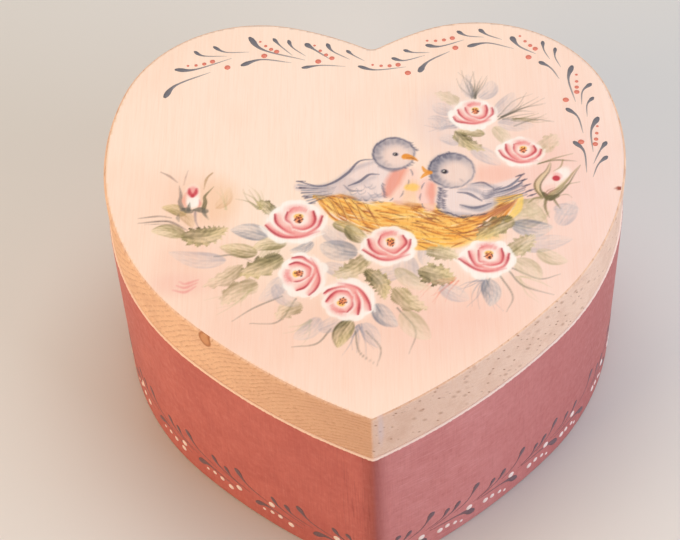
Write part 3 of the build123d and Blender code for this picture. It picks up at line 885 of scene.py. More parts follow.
# ---- Node materials ----
class Material:
    """A node material with short calls for the nodes used here."""

    def __init__(self, name, roughness=0.5, specular=0.4):
        self.material = bpy.data.materials.new(name)
        self.material.use_nodes = True
        self.tree = self.material.node_tree
        self.shader = self.tree.nodes["Principled BSDF"]
        self.shader.inputs["Roughness"].default_value = roughness
        self.shader.inputs["Specular IOR Level"].default_value = specular

    def put(self, socket, value):
        """A link if value is another node's output, or else a plain number or colour."""
        if isinstance(value, bpy.types.NodeSocket):
            self.tree.links.new(value, socket)
        elif value is not None:
            socket.default_value = value

    def node(self, kind, output=0, **inputs):
        """A new node's output. Inputs are named by their sockets, with _ for a space."""
        node = self.tree.nodes.new(kind)
        for name, value in inputs.items():
            self.put(node.inputs[name.replace("_", " ")], value)
        return node.outputs[output]

    def place(self):
        """Object coordinates in millimetres."""
        return self.scaled(self.node("ShaderNodeTexCoord", "Object"), (1 / MM, 1 / MM, 1 / MM))

    def scaled(self, vector, scale, shift=(0, 0, 0)):
        """A vector stretched by scale and then moved by shift."""
        return self.node("ShaderNodeMapping", 0, Vector=vector, Scale=scale, Location=shift)

    def attribute(self, name, output):
        """What the mesh holds at each point under a name."""
        value = self.node("ShaderNodeAttribute", output)
        value.node.attribute_name = name
        return value

    def noise(self, vector, scale, detail=3.0, rough=0.55, distortion=0.0):
        """Even noise from 0 to 1."""
        shape = {"Detail": detail, "Roughness": rough, "Distortion": distortion}
        return self.node("ShaderNodeTexNoise", 0, Vector=vector, Scale=scale, **shape)

    def grain(self, vector, scale, detail=3.0, rough=0.55, distortion=0.0):
        """Noise that is finer where scale, a number for each direction, is larger."""
        return self.noise(self.scaled(vector, scale), 1.0, detail, rough, distortion)

    def maths(self, operation, first, second=0.0):
        """One sum of two values."""
        value = self.node("ShaderNodeMath")
        value.node.operation = operation
        self.put(value.node.inputs[0], first)
        self.put(value.node.inputs[1], second)
        return value

    def product(self, first, second):
        """Two values multiplied."""
        return self.maths("MULTIPLY", first, second)

    def spread(self, value, low, high, to_low=0.0, to_high=1.0):
        """A value moved from one range to another and kept inside it."""
        result = self.node("ShaderNodeMapRange", 0, Value=value)
        for name, number in (("From Min", low), ("From Max", high), ("To Min", to_low), ("To Max", to_high)):
            result.node.inputs[name].default_value = number
        return result

    def mix(self, share, first, second, mode="MIX"):
        """A colour between two, each a socket or a screen colour."""
        node = self.tree.nodes.new("ShaderNodeMix")
        node.data_type = "RGBA"
        node.blend_type = mode
        self.put(node.inputs["Factor"], share)
        for name, value in (("A", first), ("B", second)):
            socket = next(s for s in node.inputs if s.name == name and s.type == "RGBA")
            is_colour = not isinstance(value, bpy.types.NodeSocket)
            self.put(socket, (*linear(screen(value)), 1.0) if is_colour else value)
        return next(s for s in node.outputs if s.type == "RGBA")

    def tinted(self, colour, tints):
        """A colour with tints over it, each a (value, low, high, share, tint): none at low, share at high."""
        for value, low, high, share, tint in tints:
            colour = self.mix(self.spread(value, low, high, 0.0, share), colour, tint)
        return colour

    def finish(self, colour, heights=(), roughness=None):
        """Links the colour, a chain of (height, distance in mm) bumps and the roughness to the shader."""
        self.put(self.shader.inputs["Base Color"], colour)
        normal = None
        for height, distance in heights:
            normal = self.node("ShaderNodeBump", 0, Height=height, Distance=distance * MM, Normal=normal)
        self.put(self.shader.inputs["Normal"], normal)
        self.put(self.shader.inputs["Roughness"], roughness)
        return self.material


def wood_fibres(m, place, fine=1.0):
    """Long streaks along Y, from 0 to 1."""
    return m.grain(place, (2.4 * fine, 0.06, 2.4 * fine), 4.0, 0.6)


def wood_rings(m, place, pith, spacing, wander=14.0):
    """Growth rings round a line along Y at pith = (x, z): a slow rise and a sharp fall in each ring."""
    moved = m.scaled(place, (1, 0.0, 1), (-pith[0], 0, -pith[1]))
    distance = m.node("ShaderNodeVectorMath", 1, Vector=moved)
    distance.node.operation = "LENGTH"
    waver = m.grain(place, (0.045, 0.012, 0.045), 2.0)
    ripple = m.grain(place, (0.5, 0.05, 0.5), 2.0)
    bent = m.maths("ADD", distance, m.product(waver, wander))
    bent = m.maths("ADD", bent, m.product(ripple, 0.7))
    return m.maths("FRACT", m.maths("DIVIDE", bent, spacing))


def along_axes(m, place, axes):
    """The places along three directions, each stretched by its length."""
    places = []
    for axis in axes:
        share = m.node("ShaderNodeVectorMath", 1, Vector=place)
        share.node.operation = "DOT_PRODUCT"
        share.node.inputs[1].default_value = axis
        places.append(share)
    return m.node("ShaderNodeCombineXYZ", 0, X=places[0], Y=places[1], Z=places[2])


def pin_knot(m, place, centre, radii):
    """How near a place is to a small knot: 1 at its middle and 0 outside it."""
    moved = m.scaled(place, tuple(1 / r for r in radii), tuple(-c / r for c, r in zip(centre, radii)))
    distance = m.node("ShaderNodeVectorMath", 1, Vector=moved)
    distance.node.operation = "LENGTH"
    return m.spread(distance, 1.0, 0.0)


def pores(m, cells, shape, presence):
    """Short dark flecks: one in some of the cells, of shape = (low, high) in cells from its middle."""
    distance = m.node("ShaderNodeTexVoronoi", "Distance", Vector=cells, Scale=1.0)
    chance = m.node("ShaderNodeSeparateColor", 0, Color=distance.node.outputs["Color"])
    return m.product(m.spread(distance, shape[1], shape[0]), m.spread(chance, presence, presence + 0.1))


def board_marks(m, place, colour):
    """Adds the knot, the pale smudge and the brown spot by the point, and faint grime."""
    knot = pin_knot(m, place, (-46.0, -46.5, LID_TOP - 1.8), (2.6, 2.6, 3.4))
    colour = m.tinted(colour, (
        (knot, 0.0, 0.18, 1.0, (176, 112, 72)), (knot, 0.22, 0.5, 1.0, (214, 154, 110)),
    ))
    smudge = pin_knot(m, place, (3.4, -74.6, LID_TOP - 6.0), (1.4, 1.6, 12.0))
    colour = m.tinted(colour, ((smudge, 0.0, 0.6, 0.5, (216, 200, 210)),))
    spot = pin_knot(m, place, (5.2, -72.8, LID_TOP - 12.5), (2.0, 2.0, 2.2))
    colour = m.tinted(colour, ((spot, 0.0, 0.6, 0.6, (184, 122, 84)),))
    grime = m.grain(place, (0.12, 0.12, 0.12), 3.0)
    return m.tinted(colour, ((grime, 0.48, 0.68, 0.34, (214, 166, 140)),))


# The lid board's grain runs along its left flank, so its right flank shows end grain
GRAIN = (-0.66, 0.75, 0.0)


def board_wood():
    """The lid's bare board: lined on the left, flecked on the right, with an oval knot; painted light makes
    it warmer on the left and paler and cooler on the right.
    """
    m = Material("bare lid board", 0.6, 0.3)
    place = m.place()
    rings = wood_rings(m, place, (10.0, 30.0), 1.35, 5.0)
    line = m.spread(rings, 0.45, 1.0)
    line = m.product(line, line)
    dashes = m.spread(m.grain(place, (0.30, 0.30, 0.7), 3.0, 0.6), 0.36, 0.58)
    line = m.product(line, dashes)
    fibres = wood_fibres(m, place)
    axes = m.node("ShaderNodeSeparateXYZ", 0, Vector=place).node.outputs
    facing = along_axes(m, m.node("ShaderNodeTexCoord", "Normal"), (GRAIN, (0, 0, 0), (0, 0, 0)))
    facing = m.node("ShaderNodeSeparateXYZ", 0, Vector=facing)
    across = m.spread(m.maths("ABSOLUTE", facing), 0.42, 0.78)
    # Painted light: the long grain on the left gets a warmer colour and the end grain on the right a paler,
    # cooler one.
    warm = m.mix(m.spread(fibres, 0.35, 0.7), (248, 208, 178), (235, 187, 155))
    pale = m.mix(m.spread(fibres, 0.35, 0.7), (247, 212, 192), (238, 198, 172))
    colour = m.mix(across, warm, pale)
    tip_share = m.product(m.spread(axes[1], -48.0, -78.0), m.spread(across, 0.0, 1.0, 0.46, 0.20))
    colour = m.mix(tip_share, colour, (186, 132, 104))
    share = m.product(line, m.spread(across, 0.0, 1.0, 0.56, 0.10))
    colour = m.mix(share, colour, (176, 112, 76))
    small = along_axes(m, place, ((0.16, 0.18, -0.20), (0.34, 0.38, 0.60), (0.40, -0.36, 0.0)))
    flecks = pores(m, small, (0.10, 0.26), 0.52)
    fleck_share = m.product(flecks, m.spread(across, 0.0, 1.0, 0.25, 0.8))
    colour = m.mix(fleck_share, colour, (158, 98, 66))
    large = along_axes(m, place, ((0.11, 0.12, -0.14), (0.20, 0.22, 0.34), (0.25, -0.22, 0.0)))
    broad = pores(m, large, (0.08, 0.34), 0.50)
    fleck_share = m.product(broad, m.spread(across, 0.0, 1.0, 0.2, 0.6))
    colour = m.mix(fleck_share, colour, (176, 122, 92))
    colour = board_marks(m, place, colour)
    bumps = ((line, 0.03), (fibres, 0.05), (flecks, -0.06))
    return m.finish(colour, bumps, m.spread(fibres, 0.3, 0.7, 0.52, 0.7))


def inner_wood(name, light, dark, pith, spacing):
    """Bare sawn wood for the hidden pieces."""
    m = Material(name, 0.65, 0.25)
    place = m.place()
    rings = wood_rings(m, place, pith, spacing)
    fibres = wood_fibres(m, place)
    darkest = tuple(0.8 * c for c in dark)
    colour = m.tinted(light, ((fibres, 0.3, 0.7, 1.0, dark), (rings, 0.5, 1.0, 0.5, darkest)))
    saw = m.grain(place, (0.2, 0.2, 3.0), 3.0)
    return m.finish(colour, ((fibres, 0.06), (saw, 0.05)), m.spread(fibres, 0.3, 0.7, 0.55, 0.75))


def lid_paint():
    """The painted top: the picture over a thin wash that lets the board's fine grain show."""
    m = Material("lid painting", 0.5, 0.35)
    place = m.place()
    picture = m.attribute("paint", "Color")
    fibres = wood_fibres(m, place, 0.8)
    hairline = m.grain(place, (5.0, 0.10, 1.0), 3.0, 0.6)
    grain = m.tinted((255, 255, 255), (
        (fibres, 0.42, 0.75, 0.26, (248, 228, 212)), (hairline, 0.55, 0.75, 0.26, (242, 218, 200)),
    ))
    cloud = m.grain(place, (0.035, 0.02, 1.0), 3.0)
    grain = m.tinted(grain, ((cloud, 0.45, 0.75, 0.35, (250, 226, 214)),))
    colour = m.mix(1.0, picture, grain, "MULTIPLY")
    bumps = ((fibres, 0.025), (hairline, 0.02))
    return m.finish(colour, bumps, m.spread(cloud, 0.3, 0.7, 0.44, 0.58))


def rose_with_painted_light(m, along, clouds):
    """The distance from the point, and the cloudy rose with painted light and shade that differ from side to
    side.
    """
    # Painted light: redder on the left for the warm lamp, pinker and paler near the point on the right for
    # the cool one, and painted shade, darker further round the right and at the back.
    left = m.mix(m.spread(clouds, 0.34, 0.68), (204, 112, 104), (192, 100, 94))
    lit_near_right = m.mix(m.spread(clouds, 0.34, 0.68), (210, 132, 130), (202, 122, 120))
    right = m.mix(m.spread(along, 35.0, 95.0), lit_near_right, (186, 104, 102))
    colour = m.mix(m.spread(along, -1.0, 2.5), left, right)
    from_tip = m.maths("ABSOLUTE", along)
    to_back = m.spread(from_tip, 90.0, 130.0)
    back = m.mix(m.spread(clouds, 0.34, 0.68), (200, 112, 106), (186, 98, 94))
    return from_tip, m.mix(to_back, colour, back)


def box_paint():
    """Dusty rose acrylic, brushed up and down, with painted light: redder on the left, pinker with a painted
    sheen near the point on the right, darker round to the back. Streaked and darker at the point, and pale on
    the rim's arris as rubbed paint and a painted highlight.
    """
    m = Material("dusty rose paint", 0.48, 0.22)
    unrolled = m.attribute("unrolled", "Vector")
    parts = m.node("ShaderNodeSeparateXYZ", 0, Vector=unrolled).node.outputs
    along, height = parts[0], parts[1]
    streaks = m.grain(unrolled, (1.5, 0.05, 1.0), 4.0, 0.6, 0.2)
    hairs = m.grain(unrolled, (3.5, 0.10, 1.0), 3.0, 0.6)
    clouds = m.grain(unrolled, (0.07, 0.06, 1.0), 4.0, 0.6, 0.6)
    mottle = m.grain(unrolled, (0.5, 0.4, 1.0), 4.0, 0.65, 0.4)
    leaning = m.node("ShaderNodeMapping", 0, Vector=unrolled, Rotation=(0.0, 0.0, 0.12))
    sweep = m.grain(leaning, (0.14, 2.2, 1.0), 3.0, 0.6, 0.5)
    from_tip, colour = rose_with_painted_light(m, along, clouds)
    colour = m.tinted(colour, (
        (mottle, 0.5, 0.75, 0.26, (172, 86, 82)), (mottle, 0.46, 0.25, 0.26, (222, 140, 130)),
    ))
    near_tip = m.product(m.spread(from_tip, 13.0, 3.0), m.spread(along, 2.0, -1.0))
    streak_share = m.spread(near_tip, 0.0, 1.0, 0.10, 0.8)
    colour = m.mix(m.product(m.spread(streaks, 0.54, 0.72), streak_share), colour, (140, 62, 60))
    colour = m.mix(m.product(m.spread(streaks, 0.44, 0.26), streak_share), colour, (220, 134, 122))
    colour = m.tinted(colour, (
        (hairs, 0.52, 0.75, 0.30, (166, 82, 78)), (hairs, 0.45, 0.25, 0.20, (226, 150, 142)),
    ))
    # Brush sweeps on the right near the point, the pale ones a painted sheen.
    sheen_band = m.product(m.spread(along, 2.0, 8.0), m.spread(along, 60.0, 35.0))
    painted_sheen_sweep = m.product(m.spread(sweep, 0.5, 0.72, 0.0, 0.40), sheen_band)
    colour = m.mix(painted_sheen_sweep, colour, (230, 166, 164))
    dark_sweep = m.product(m.spread(sweep, 0.45, 0.25, 0.0, 0.30), sheen_band)
    colour = m.mix(dark_sweep, colour, (182, 104, 106))
    colour = m.tinted(colour, ((from_tip, 4.5, 0.5, 0.55, (142, 66, 62)),))
    worn = m.grain(unrolled, (0.9, 0.9, 1.0), 3.0)
    # The rim's arris pale: rubbed paint and a painted highlight.
    rim_wear_and_highlight = m.maths("ADD", height, m.spread(worn, 0.3, 0.7, -0.12, 0.12))
    colour = m.tinted(colour, ((rim_wear_and_highlight, RIM - 0.62, RIM - 0.38, 1.0, (255, 226, 212)),))
    foot_edge = m.maths("ADD", height, m.product(worn, 1.2))
    colour = m.tinted(colour, ((foot_edge, 1.1, 0.6, 1.0, (214, 146, 134)),))
    sheen = m.spread(mottle, 0.3, 0.7, 0.40, 0.56)
    return m.finish(colour, ((streaks, 0.03), (hairs, 0.02), (sweep, 0.03), (mottle, 0.05)), sheen)


def stroke_paint(name, roughness):
    """Thick paint in the colour of each stroke, with the brush's furrows."""
    m = Material(name, roughness, 0.45)
    place = m.place()
    tint = m.attribute("paint", "Color")
    furrows = m.noise(place, 2.2, 3.0)
    shade = m.mix(m.spread(furrows, 0.35, 0.7, 0.0, 0.4), (255, 255, 255), (226, 222, 220))
    colour = m.mix(1.0, tint, shade, "MULTIPLY")
    sheen = m.spread(furrows, 0.3, 0.7, roughness - 0.06, roughness + 0.08)
    return m.finish(colour, ((furrows, 0.04),), sheen)


def pin_steel():
    """Panel pins gone slightly dull."""
    m = Material("pin steel", 0.4)
    m.shader.inputs["Metallic"].default_value = 1.0
    place = m.place()
    tarnish = m.noise(place, 0.9, 4.0)
    scratches = m.grain(place, (6.0, 0.8, 1.0), 3.0)
    colour = m.mix(m.spread(tarnish, 0.4, 0.7), (178, 176, 170), (126, 112, 98))
    return m.finish(colour, ((scratches, 0.02),), m.spread(tarnish, 0.3, 0.7, 0.3, 0.55))


def felt_cloth():
    """Dark red wool felt."""
    m = Material("wine red felt", 0.95, 0.1)
    m.shader.inputs["Sheen Weight"].default_value = 0.5
    m.shader.inputs["Sheen Roughness"].default_value = 0.5
    place = m.place()
    fuzz = m.noise(place, 3.5, 5.0, 0.7, 1.5)
    tufts = m.noise(place, 0.35, 4.0)
    colour = m.tinted((112, 28, 36), (
        (fuzz, 0.35, 0.7, 1.0, (148, 48, 54)), (tufts, 0.45, 0.7, 0.4, (96, 22, 32)),
    ))
    return m.finish(colour, ((fuzz, 0.25), (tufts, 0.3)))


def floor_surface():
    """The studio's pale floor."""
    m = Material("studio floor", 0.7, 0.2)
    cloud = m.noise(m.place(), 0.004, 2.0)
    return m.finish(m.mix(cloud, (226, 224, 221), (220, 218, 215)))


# ---- Meshes ----
def ring_faces(rows, sides, closed=False):
    """Quads between rows of sides points each, and from the last row to the first one if closed."""
    faces = []
    for i in range(rows if closed else rows - 1):
        for j in range(sides):
            k, above = (j + 1) % sides, (i + 1) % rows
            faces.append((i * sides + j, i * sides + k, above * sides + k, above * sides + j))
    return faces


def make_piece(name, points, faces, material, body, paint=None):
    """A smooth-shaded mesh that rides on a body. points are in metres and paint holds screen colours."""
    mesh = bpy.data.meshes.new(name)
    mesh.from_pydata(np.asarray(points).tolist(), [], faces)
    mesh.update()
    mesh.shade_smooth()
    if paint is not None:
        layer = mesh.color_attributes.new("paint", "FLOAT_COLOR", "POINT")
        rgba = np.ones((len(paint), 4))
        rgba[:, :3] = linear(paint)
        layer.data.foreach_set("color", rgba.ravel())
    piece = bpy.data.objects.new(name, mesh)
    bpy.context.scene.collection.objects.link(piece)
    mesh.materials.append(material)
    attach(piece, body)
    return piece


def graded(low, high, fine_low, fine_high, fine, coarse):
    """Grid lines from low to high, close together between fine_low and fine_high."""
    before = np.linspace(low, fine_low, int((fine_low - low) / coarse) + 2)[:-1]
    middle = np.linspace(fine_low, fine_high, int((fine_high - fine_low) / fine) + 1)
    after = np.linspace(fine_high, high, int((high - fine_high) / coarse) + 2)[1:]
    return np.concatenate([before, middle, after])


# The paint film: how far it stays inside the outline, its thickness, its depth into the board at the
# edge and at the middle of its back, and the spacings of its grid
FILM_INSET = 0.75
FILM = 0.02
SKIRT_DEPTH = 0.06
BACK_DEPTH = 0.04
FINE_GRID, COARSE_GRID = 0.3, 0.8


def close_film(points, quads, paint):
    """Adds a skirt and a flat back to an open sheet: its points, faces and colours as one closed mesh."""
    starts, ends = quads.ravel(), np.roll(quads, -1, axis=1).ravel()
    forward, backward = starts * len(points) + ends, ends * len(points) + starts
    open_edge = ~np.isin(forward, backward)
    starts, ends = starts[open_edge], ends[open_edge]
    rim = np.unique(starts)
    lower = {int(old): len(points) + k for k, old in enumerate(rim)}
    centre = len(points) + len(rim)
    faces = quads.tolist()
    for a, b in zip(starts.tolist(), ends.tolist()):
        faces.append((b, a, lower[a], lower[b]))
        faces.append((lower[b], lower[a], centre))
    sunk = points[rim] - (0, 0, SKIRT_DEPTH * MM)
    points = np.vstack([points, sunk, lid_point(0.0, 0.0, -BACK_DEPTH)])
    return points, faces, np.vstack([paint, paint[rim], screen(GROUND)])


def lid_picture():
    """The painted film on the lid's top, on a grid that is fine under the picture and ends at the outline."""
    edge = OUTLINE - FILM_INSET * OUTWARD
    low, high = edge.min(0) - 1, edge.max(0) + 1
    xs = graded(low[0], high[0], -66, 66, FINE_GRID, COARSE_GRID)
    ys = graded(low[1], high[1], -53, 55, FINE_GRID, COARSE_GRID)
    canvas = Canvas(xs, ys, GROUND)
    paint_lid(canvas)
    x, y = np.meshgrid(xs, ys)
    angles = np.arctan2(edge[:, 1], edge[:, 0])
    order = np.argsort(angles)
    reach = np.interp(np.arctan2(y, x), angles[order], np.hypot(*edge[order].T), period=2 * math.pi)
    radius = np.hypot(x, y)
    inside = radius < reach
    shrink = np.where(inside, 1, reach / np.maximum(radius, 1e-6))
    height = np.where(inside, FILM + canvas.height, FILM)
    points = lid_point(x * shrink, y * shrink, height).reshape(-1, 3)
    index = np.arange(x.size).reshape(x.shape)
    corners = (index[:-1, :-1], index[:-1, 1:], index[1:, 1:], index[1:, :-1])
    kept = np.any([inside.ravel()[corner] for corner in corners], axis=0)
    quads = np.column_stack([corner[kept] for corner in corners])
    used, quads = np.unique(quads, return_inverse=True)
    paint = canvas.colour.reshape(-1, 3)[used]
    points, faces, paint = close_film(points[used], quads.reshape(-1, 4), paint)
    return make_piece("lid_painting", points, faces, lid_paint(), "lid", paint)


def box_skin():
    """The paint on the walls: a thin shell from the foot's arris up and over the rim's."""
    foot, arris = 0.5, 0.9
    profile = [(-0.3, 1.2), (-0.3, 0.3)]
    for angle in np.radians(range(-60, 1, 20)):
        out, rise = (foot + COAT) * math.cos(angle), (foot + COAT) * math.sin(angle)
        profile.append((out - foot, foot + rise))
    for height in np.linspace(3, RIM - 3, 20):
        profile.append((COAT, height))
    for angle in np.radians(range(0, 76, 15)):
        out, rise = (arris + COAT) * math.cos(angle), (arris + COAT) * math.sin(angle)
        profile.append((out - arris, RIM - arris + rise))
    profile += [(-1.0, RIM - 0.2), (-1.0, RIM - 2.0)]
    outs, heights = np.array(profile).T
    stations = TIP_LENGTH - LENGTHS[:-1]
    points = wall_point(stations[:, None], heights[None, :], outs[None, :])
    along, height = np.meshgrid(stations, heights, indexing="ij")
    unrolled = np.stack([along, height, np.zeros(along.shape)], -1)
    columns, rows = points.shape[:2]
    faces = ring_faces(columns, rows, closed=True)
    piece = make_piece("box_paint", points.reshape(-1, 3), faces, box_paint(), "box")
    layer = piece.data.attributes.new("unrolled", "FLOAT_VECTOR", "POINT")
    layer.data.foreach_set("vector", unrolled.reshape(-1, 3).ravel())
    return piece


class Relief:
    """Raised strokes and dots of thick paint, gathered into one mesh on a surface."""

    SECTION = np.radians(np.arange(0, 360, 45))

    def __init__(self, surface, ground):
        self.surface, self.ground = surface, ground
        self.points, self.faces, self.paint = [], [], []
        self.count = 0

    def add(self, points, faces, paint):
        """Takes in one more shape, with a screen colour for each of its points."""
        self.points.append(points)
        self.paint.append(paint)
        self.faces += [tuple(corner + self.count for corner in face) for face in faces]
        self.count += len(points)

    def comma(self, points, width, colour, body=0.10, fade=0.55, tail=0.5):
        """A stroke with a round loaded head and a long tail, tail times as wide, that runs dry."""
        path = smooth_path(points, 0.55)
        count = len(path)
        t = np.linspace(0, 1, count)
        reach = np.array((0, 0.05, 0.13, 0.24, 0.40, 0.75, 1))
        profile = np.interp(t, reach, (0.4, 0.88, 1.0, 0.44 + 0.56 * tail, tail, tail * 0.85, 0.12))
        half = profile[:, None] * width / 2 * np.cos(self.SECTION)
        rise = np.maximum(np.sin(self.SECTION), -0.35) * body * np.sqrt(profile)[:, None]
        heading = np.gradient(path, axis=0)
        heading /= np.linalg.norm(heading, axis=1)[:, None]
        u = path[:, :1] - heading[:, 1:] * half
        v = path[:, 1:] + heading[:, :1] * half
        points3 = self.surface(u, v, rise).reshape(-1, 3)
        sides = len(self.SECTION)
        faces = [tuple(range(sides))[::-1], tuple(range((count - 1) * sides, count * sides))]
        faces += ring_faces(count, sides)
        share = np.clip((t - 0.12) / 0.88, 0, 1) * fade
        self.add(points3, faces, np.repeat(blend_colours(colour, self.ground, share), sides, axis=0))

    def dot(self, centre, radius, colour, body=0.22):
        """A round drop of paint."""
        ring = np.radians(np.arange(0, 360, 30))
        shares = ((1.0, -0.25), (1.0, 0.12), (0.8, 0.65), (0.42, 0.95))
        rows = []
        for spread, rise in shares:
            u = centre[0] + radius * spread * np.cos(ring)
            v = centre[1] + radius * spread * np.sin(ring)
            rows.append(self.surface(u, v, rise * body * min(radius, 1.0)))
        top = self.surface(np.array([centre[0]]), np.array([centre[1]]), body * min(radius, 1.0))
        sides = len(ring)
        faces = [tuple(range(sides))[::-1]] + ring_faces(len(shares), sides)
        last = (len(shares) - 1) * sides
        faces += [(last + j, last + (j + 1) % sides, len(shares) * sides) for j in range(sides)]
        points3 = np.vstack(rows + [top])
        self.add(points3, faces, np.ones((len(points3), 1)) * screen(colour))

    def build(self, name, material, body, slot):
        """One piece with every shape taken in so far."""
        points, paint = np.vstack(self.points), np.vstack(self.paint)
        return make_piece(name, points, self.faces, material, body, paint)


# The lid's border: each sprig is its commas as (head, bend, tail, width), the first and last of its small
# dots, and its one large dot
LID_SPRIGS = (
    ((((-62.0, 45.5), (-58.5, 50.8), (-48.0, 56.0), 2.7), ((-59.3, 57.5), (-53.0, 57.3), (-41.5, 61.8), 2.3),
      ((-53.5, 65.3), (-50.5, 63.2), (-43.0, 62.8), 1.7), ((-47.5, 67.2), (-43.5, 64.6), (-36.0, 64.4), 1.7)),
     (-55.2, 59.0), (-47.5, 60.6), (-42.7, 57.9)),
    ((((-36.2, 71.0), (-31.5, 65.2), (-18.2, 60.3), 2.6), ((-38.5, 58.6), (-32.0, 61.0), (-22.5, 59.3), 2.4),
      ((-28.5, 70.2), (-26.3, 67.0), (-22.3, 62.5), 1.8), ((-23.7, 69.3), (-22.3, 66.0), (-18.0, 62.0), 1.8)),
     (-32.6, 68.8), (-27.3, 64.3), (-31.2, 62.6)),
    ((((-18.3, 67.6), (-15.5, 65.0), (-10.5, 60.6), 2.6), ((-19.3, 57.0), (-13.0, 57.9), (-5.5, 57.2), 1.8),
      ((-11.4, 67.4), (-9.6, 64.0), (-4.2, 60.2), 2.0), ((-5.2, 64.2), (-2.8, 61.8), (0.5, 59.4), 1.8)),
     (-15.3, 66.6), (-9.8, 60.9), (-14.1, 59.6)),
    ((((-1.6, 57.2), (4.0, 55.4), (13.5, 56.4), 1.9), ((9.0, 60.4), (13.0, 59.2), (19.5, 61.2), 1.9),
      ((12.8, 63.8), (16.0, 62.6), (21.0, 62.4), 1.8), ((17.4, 54.0), (20.5, 58.5), (27.3, 62.7), 2.7)),
     (3.0, 57.6), (11.0, 57.4), (14.0, 53.8)),
    ((((19.8, 65.7), (24.5, 65.0), (32.0, 67.6), 2.2), ((30.0, 71.6), (33.0, 69.4), (38.3, 68.6), 2.0),
      ((37.0, 72.2), (39.5, 69.6), (44.0, 67.4), 2.2), ((33.0, 64.7), (39.5, 66.0), (47.5, 63.3), 2.2)),
     (20.4, 67.6), (28.4, 68.5), (29.2, 64.2)),
    ((((47.0, 68.6), (49.3, 64.3), (54.3, 60.8), 2.7), ((55.1, 57.4), (58.6, 54.6), (61.0, 49.8), 2.2),
      ((56.8, 66.3), (57.0, 62.4), (58.6, 58.3), 1.8), ((60.6, 63.3), (60.3, 59.2), (61.8, 54.8), 1.7)),
     (49.8, 68.7), (54.3, 63.0), (52.0, 59.4)),
    ((((65.4, 55.4), (63.8, 49.5), (65.3, 40.0), 2.4), ((62.2, 37.4), (65.5, 33.8), (66.7, 27.0), 2.2),
      ((70.8, 47.6), (67.8, 44.4), (67.1, 38.8), 2.0), ((71.0, 41.8), (68.8, 38.8), (68.4, 33.7), 1.8)),
     (66.4, 51.4), (66.0, 44.1), (62.4, 40.9)),
    ((((71.8, 33.5), (69.2, 28.0), (69.1, 19.4), 2.5), ((63.5, 23.8), (66.4, 19.6), (66.6, 11.2), 2.3),
      ((73.5, 23.4), (71.2, 19.8), (68.9, 14.7), 2.1), ((73.3, 17.6), (70.3, 14.4), (68.3, 9.4), 2.0)),
     (71.2, 29.7), (70.0, 22.5), (65.8, 23.5)),
)


def lid_border():
    """Comma strokes and dots along the back of the lid."""
    strokes, dots = Relief(lid_point, GROUND), Relief(lid_point, GROUND)
    for commas, first, last, large in LID_SPRIGS:
        for head, bend, tail, width in commas:
            strokes.comma((head, bend, tail), width * 0.80, STROKE_BLUE, 0.09, 0.55, 0.36)
        for share, radius in zip(np.linspace(0, 1, 4), (0.46, 0.58, 0.70, 0.86)):
            bow = 0.5 * math.sin(math.pi * share)
            at = np.array(first) * (1 - share) + np.array(last) * share - (0, bow)
            dots.dot(at, radius, DOT_CORAL, 0.2)
        dots.dot(large, 0.98, DOT_CORAL, 0.2)
    strokes.build("lid_border_strokes", stroke_paint("blue grey border paint", 0.42), "lid", "solid_wood")
    dots.build("lid_border_dots", stroke_paint("coral dot paint", 0.38), "lid", "solid_wood")


# The foot's border, as distance along the wall and height. Each sprig is its commas as (head, bend, tail,
# width), its row of small dots and its large dot, all counted from the head of the tall comma.
LEFT_SPRIG = (
    (((0.0, 19.8), (-4.4, 14.4), (-12.8, 11.4), 3.0), ((5.2, 16.5), (2.6, 13.0), (-4.6, 11.1), 2.3),
     ((10.0, 16.7), (7.0, 13.0), (-2.0, 10.2), 2.3), ((17.2, 7.4), (12.6, 9.4), (-0.5, 7.8), 3.0)),
    ((3.4, 6.1, 1.10), (7.0, 7.1, 0.92), (10.2, 7.2, 0.80), (13.2, 6.3, 0.60)),
)
RIGHT_SPRIG = (
    (((0.0, 19.4), (-4.0, 13.4), (-9.4, 11.0), 2.9), ((6.0, 15.6), (3.2, 12.0), (-2.6, 10.4), 2.3),
     ((10.3, 15.5), (7.0, 11.8), (-1.0, 9.6), 2.3), ((15.4, 4.6), (10.2, 7.9), (-1.5, 9.3), 3.2)),
    ((2.6, 6.0, 1.10), (5.4, 5.9, 0.92), (8.2, 5.1, 0.78), (10.5, 3.5, 0.60)),
)
# Where the tall commas stand, each with the place of its large dot
LEFT_PLACES = (
    (4.0, 8.9, 11.4), (26.1, 10.2, 11.5), (49.7, -0.4, 8.9), (70.8, 2.5, 9.7), (92.0, 8.0, 10.5),
    (114.0, 9.5, 11.0), (136.5, 3.0, 9.6), (158.0, 9.0, 11.2), (180.5, 2.0, 9.4), (203.0, 9.5, 10.8),
    (225.5, 8.5, 11.0),
)
RIGHT_PLACES = (
    (1.5, 13.9, 8.1), (19.7, 13.6, 8.6), (37.3, 13.2, 9.5), (56.3, 9.9, 9.3), (71.6, 8.5, 10.4),
    (92.0, 11.0, 9.6), (110.5, 12.0, 9.0), (128.0, 10.5, 10.0), (147.0, 12.5, 9.2), (165.5, 11.0, 9.8),
    (184.0, 12.5, 9.0), (202.5, 11.5, 9.6), (220.5, 12.0, 9.2),
)


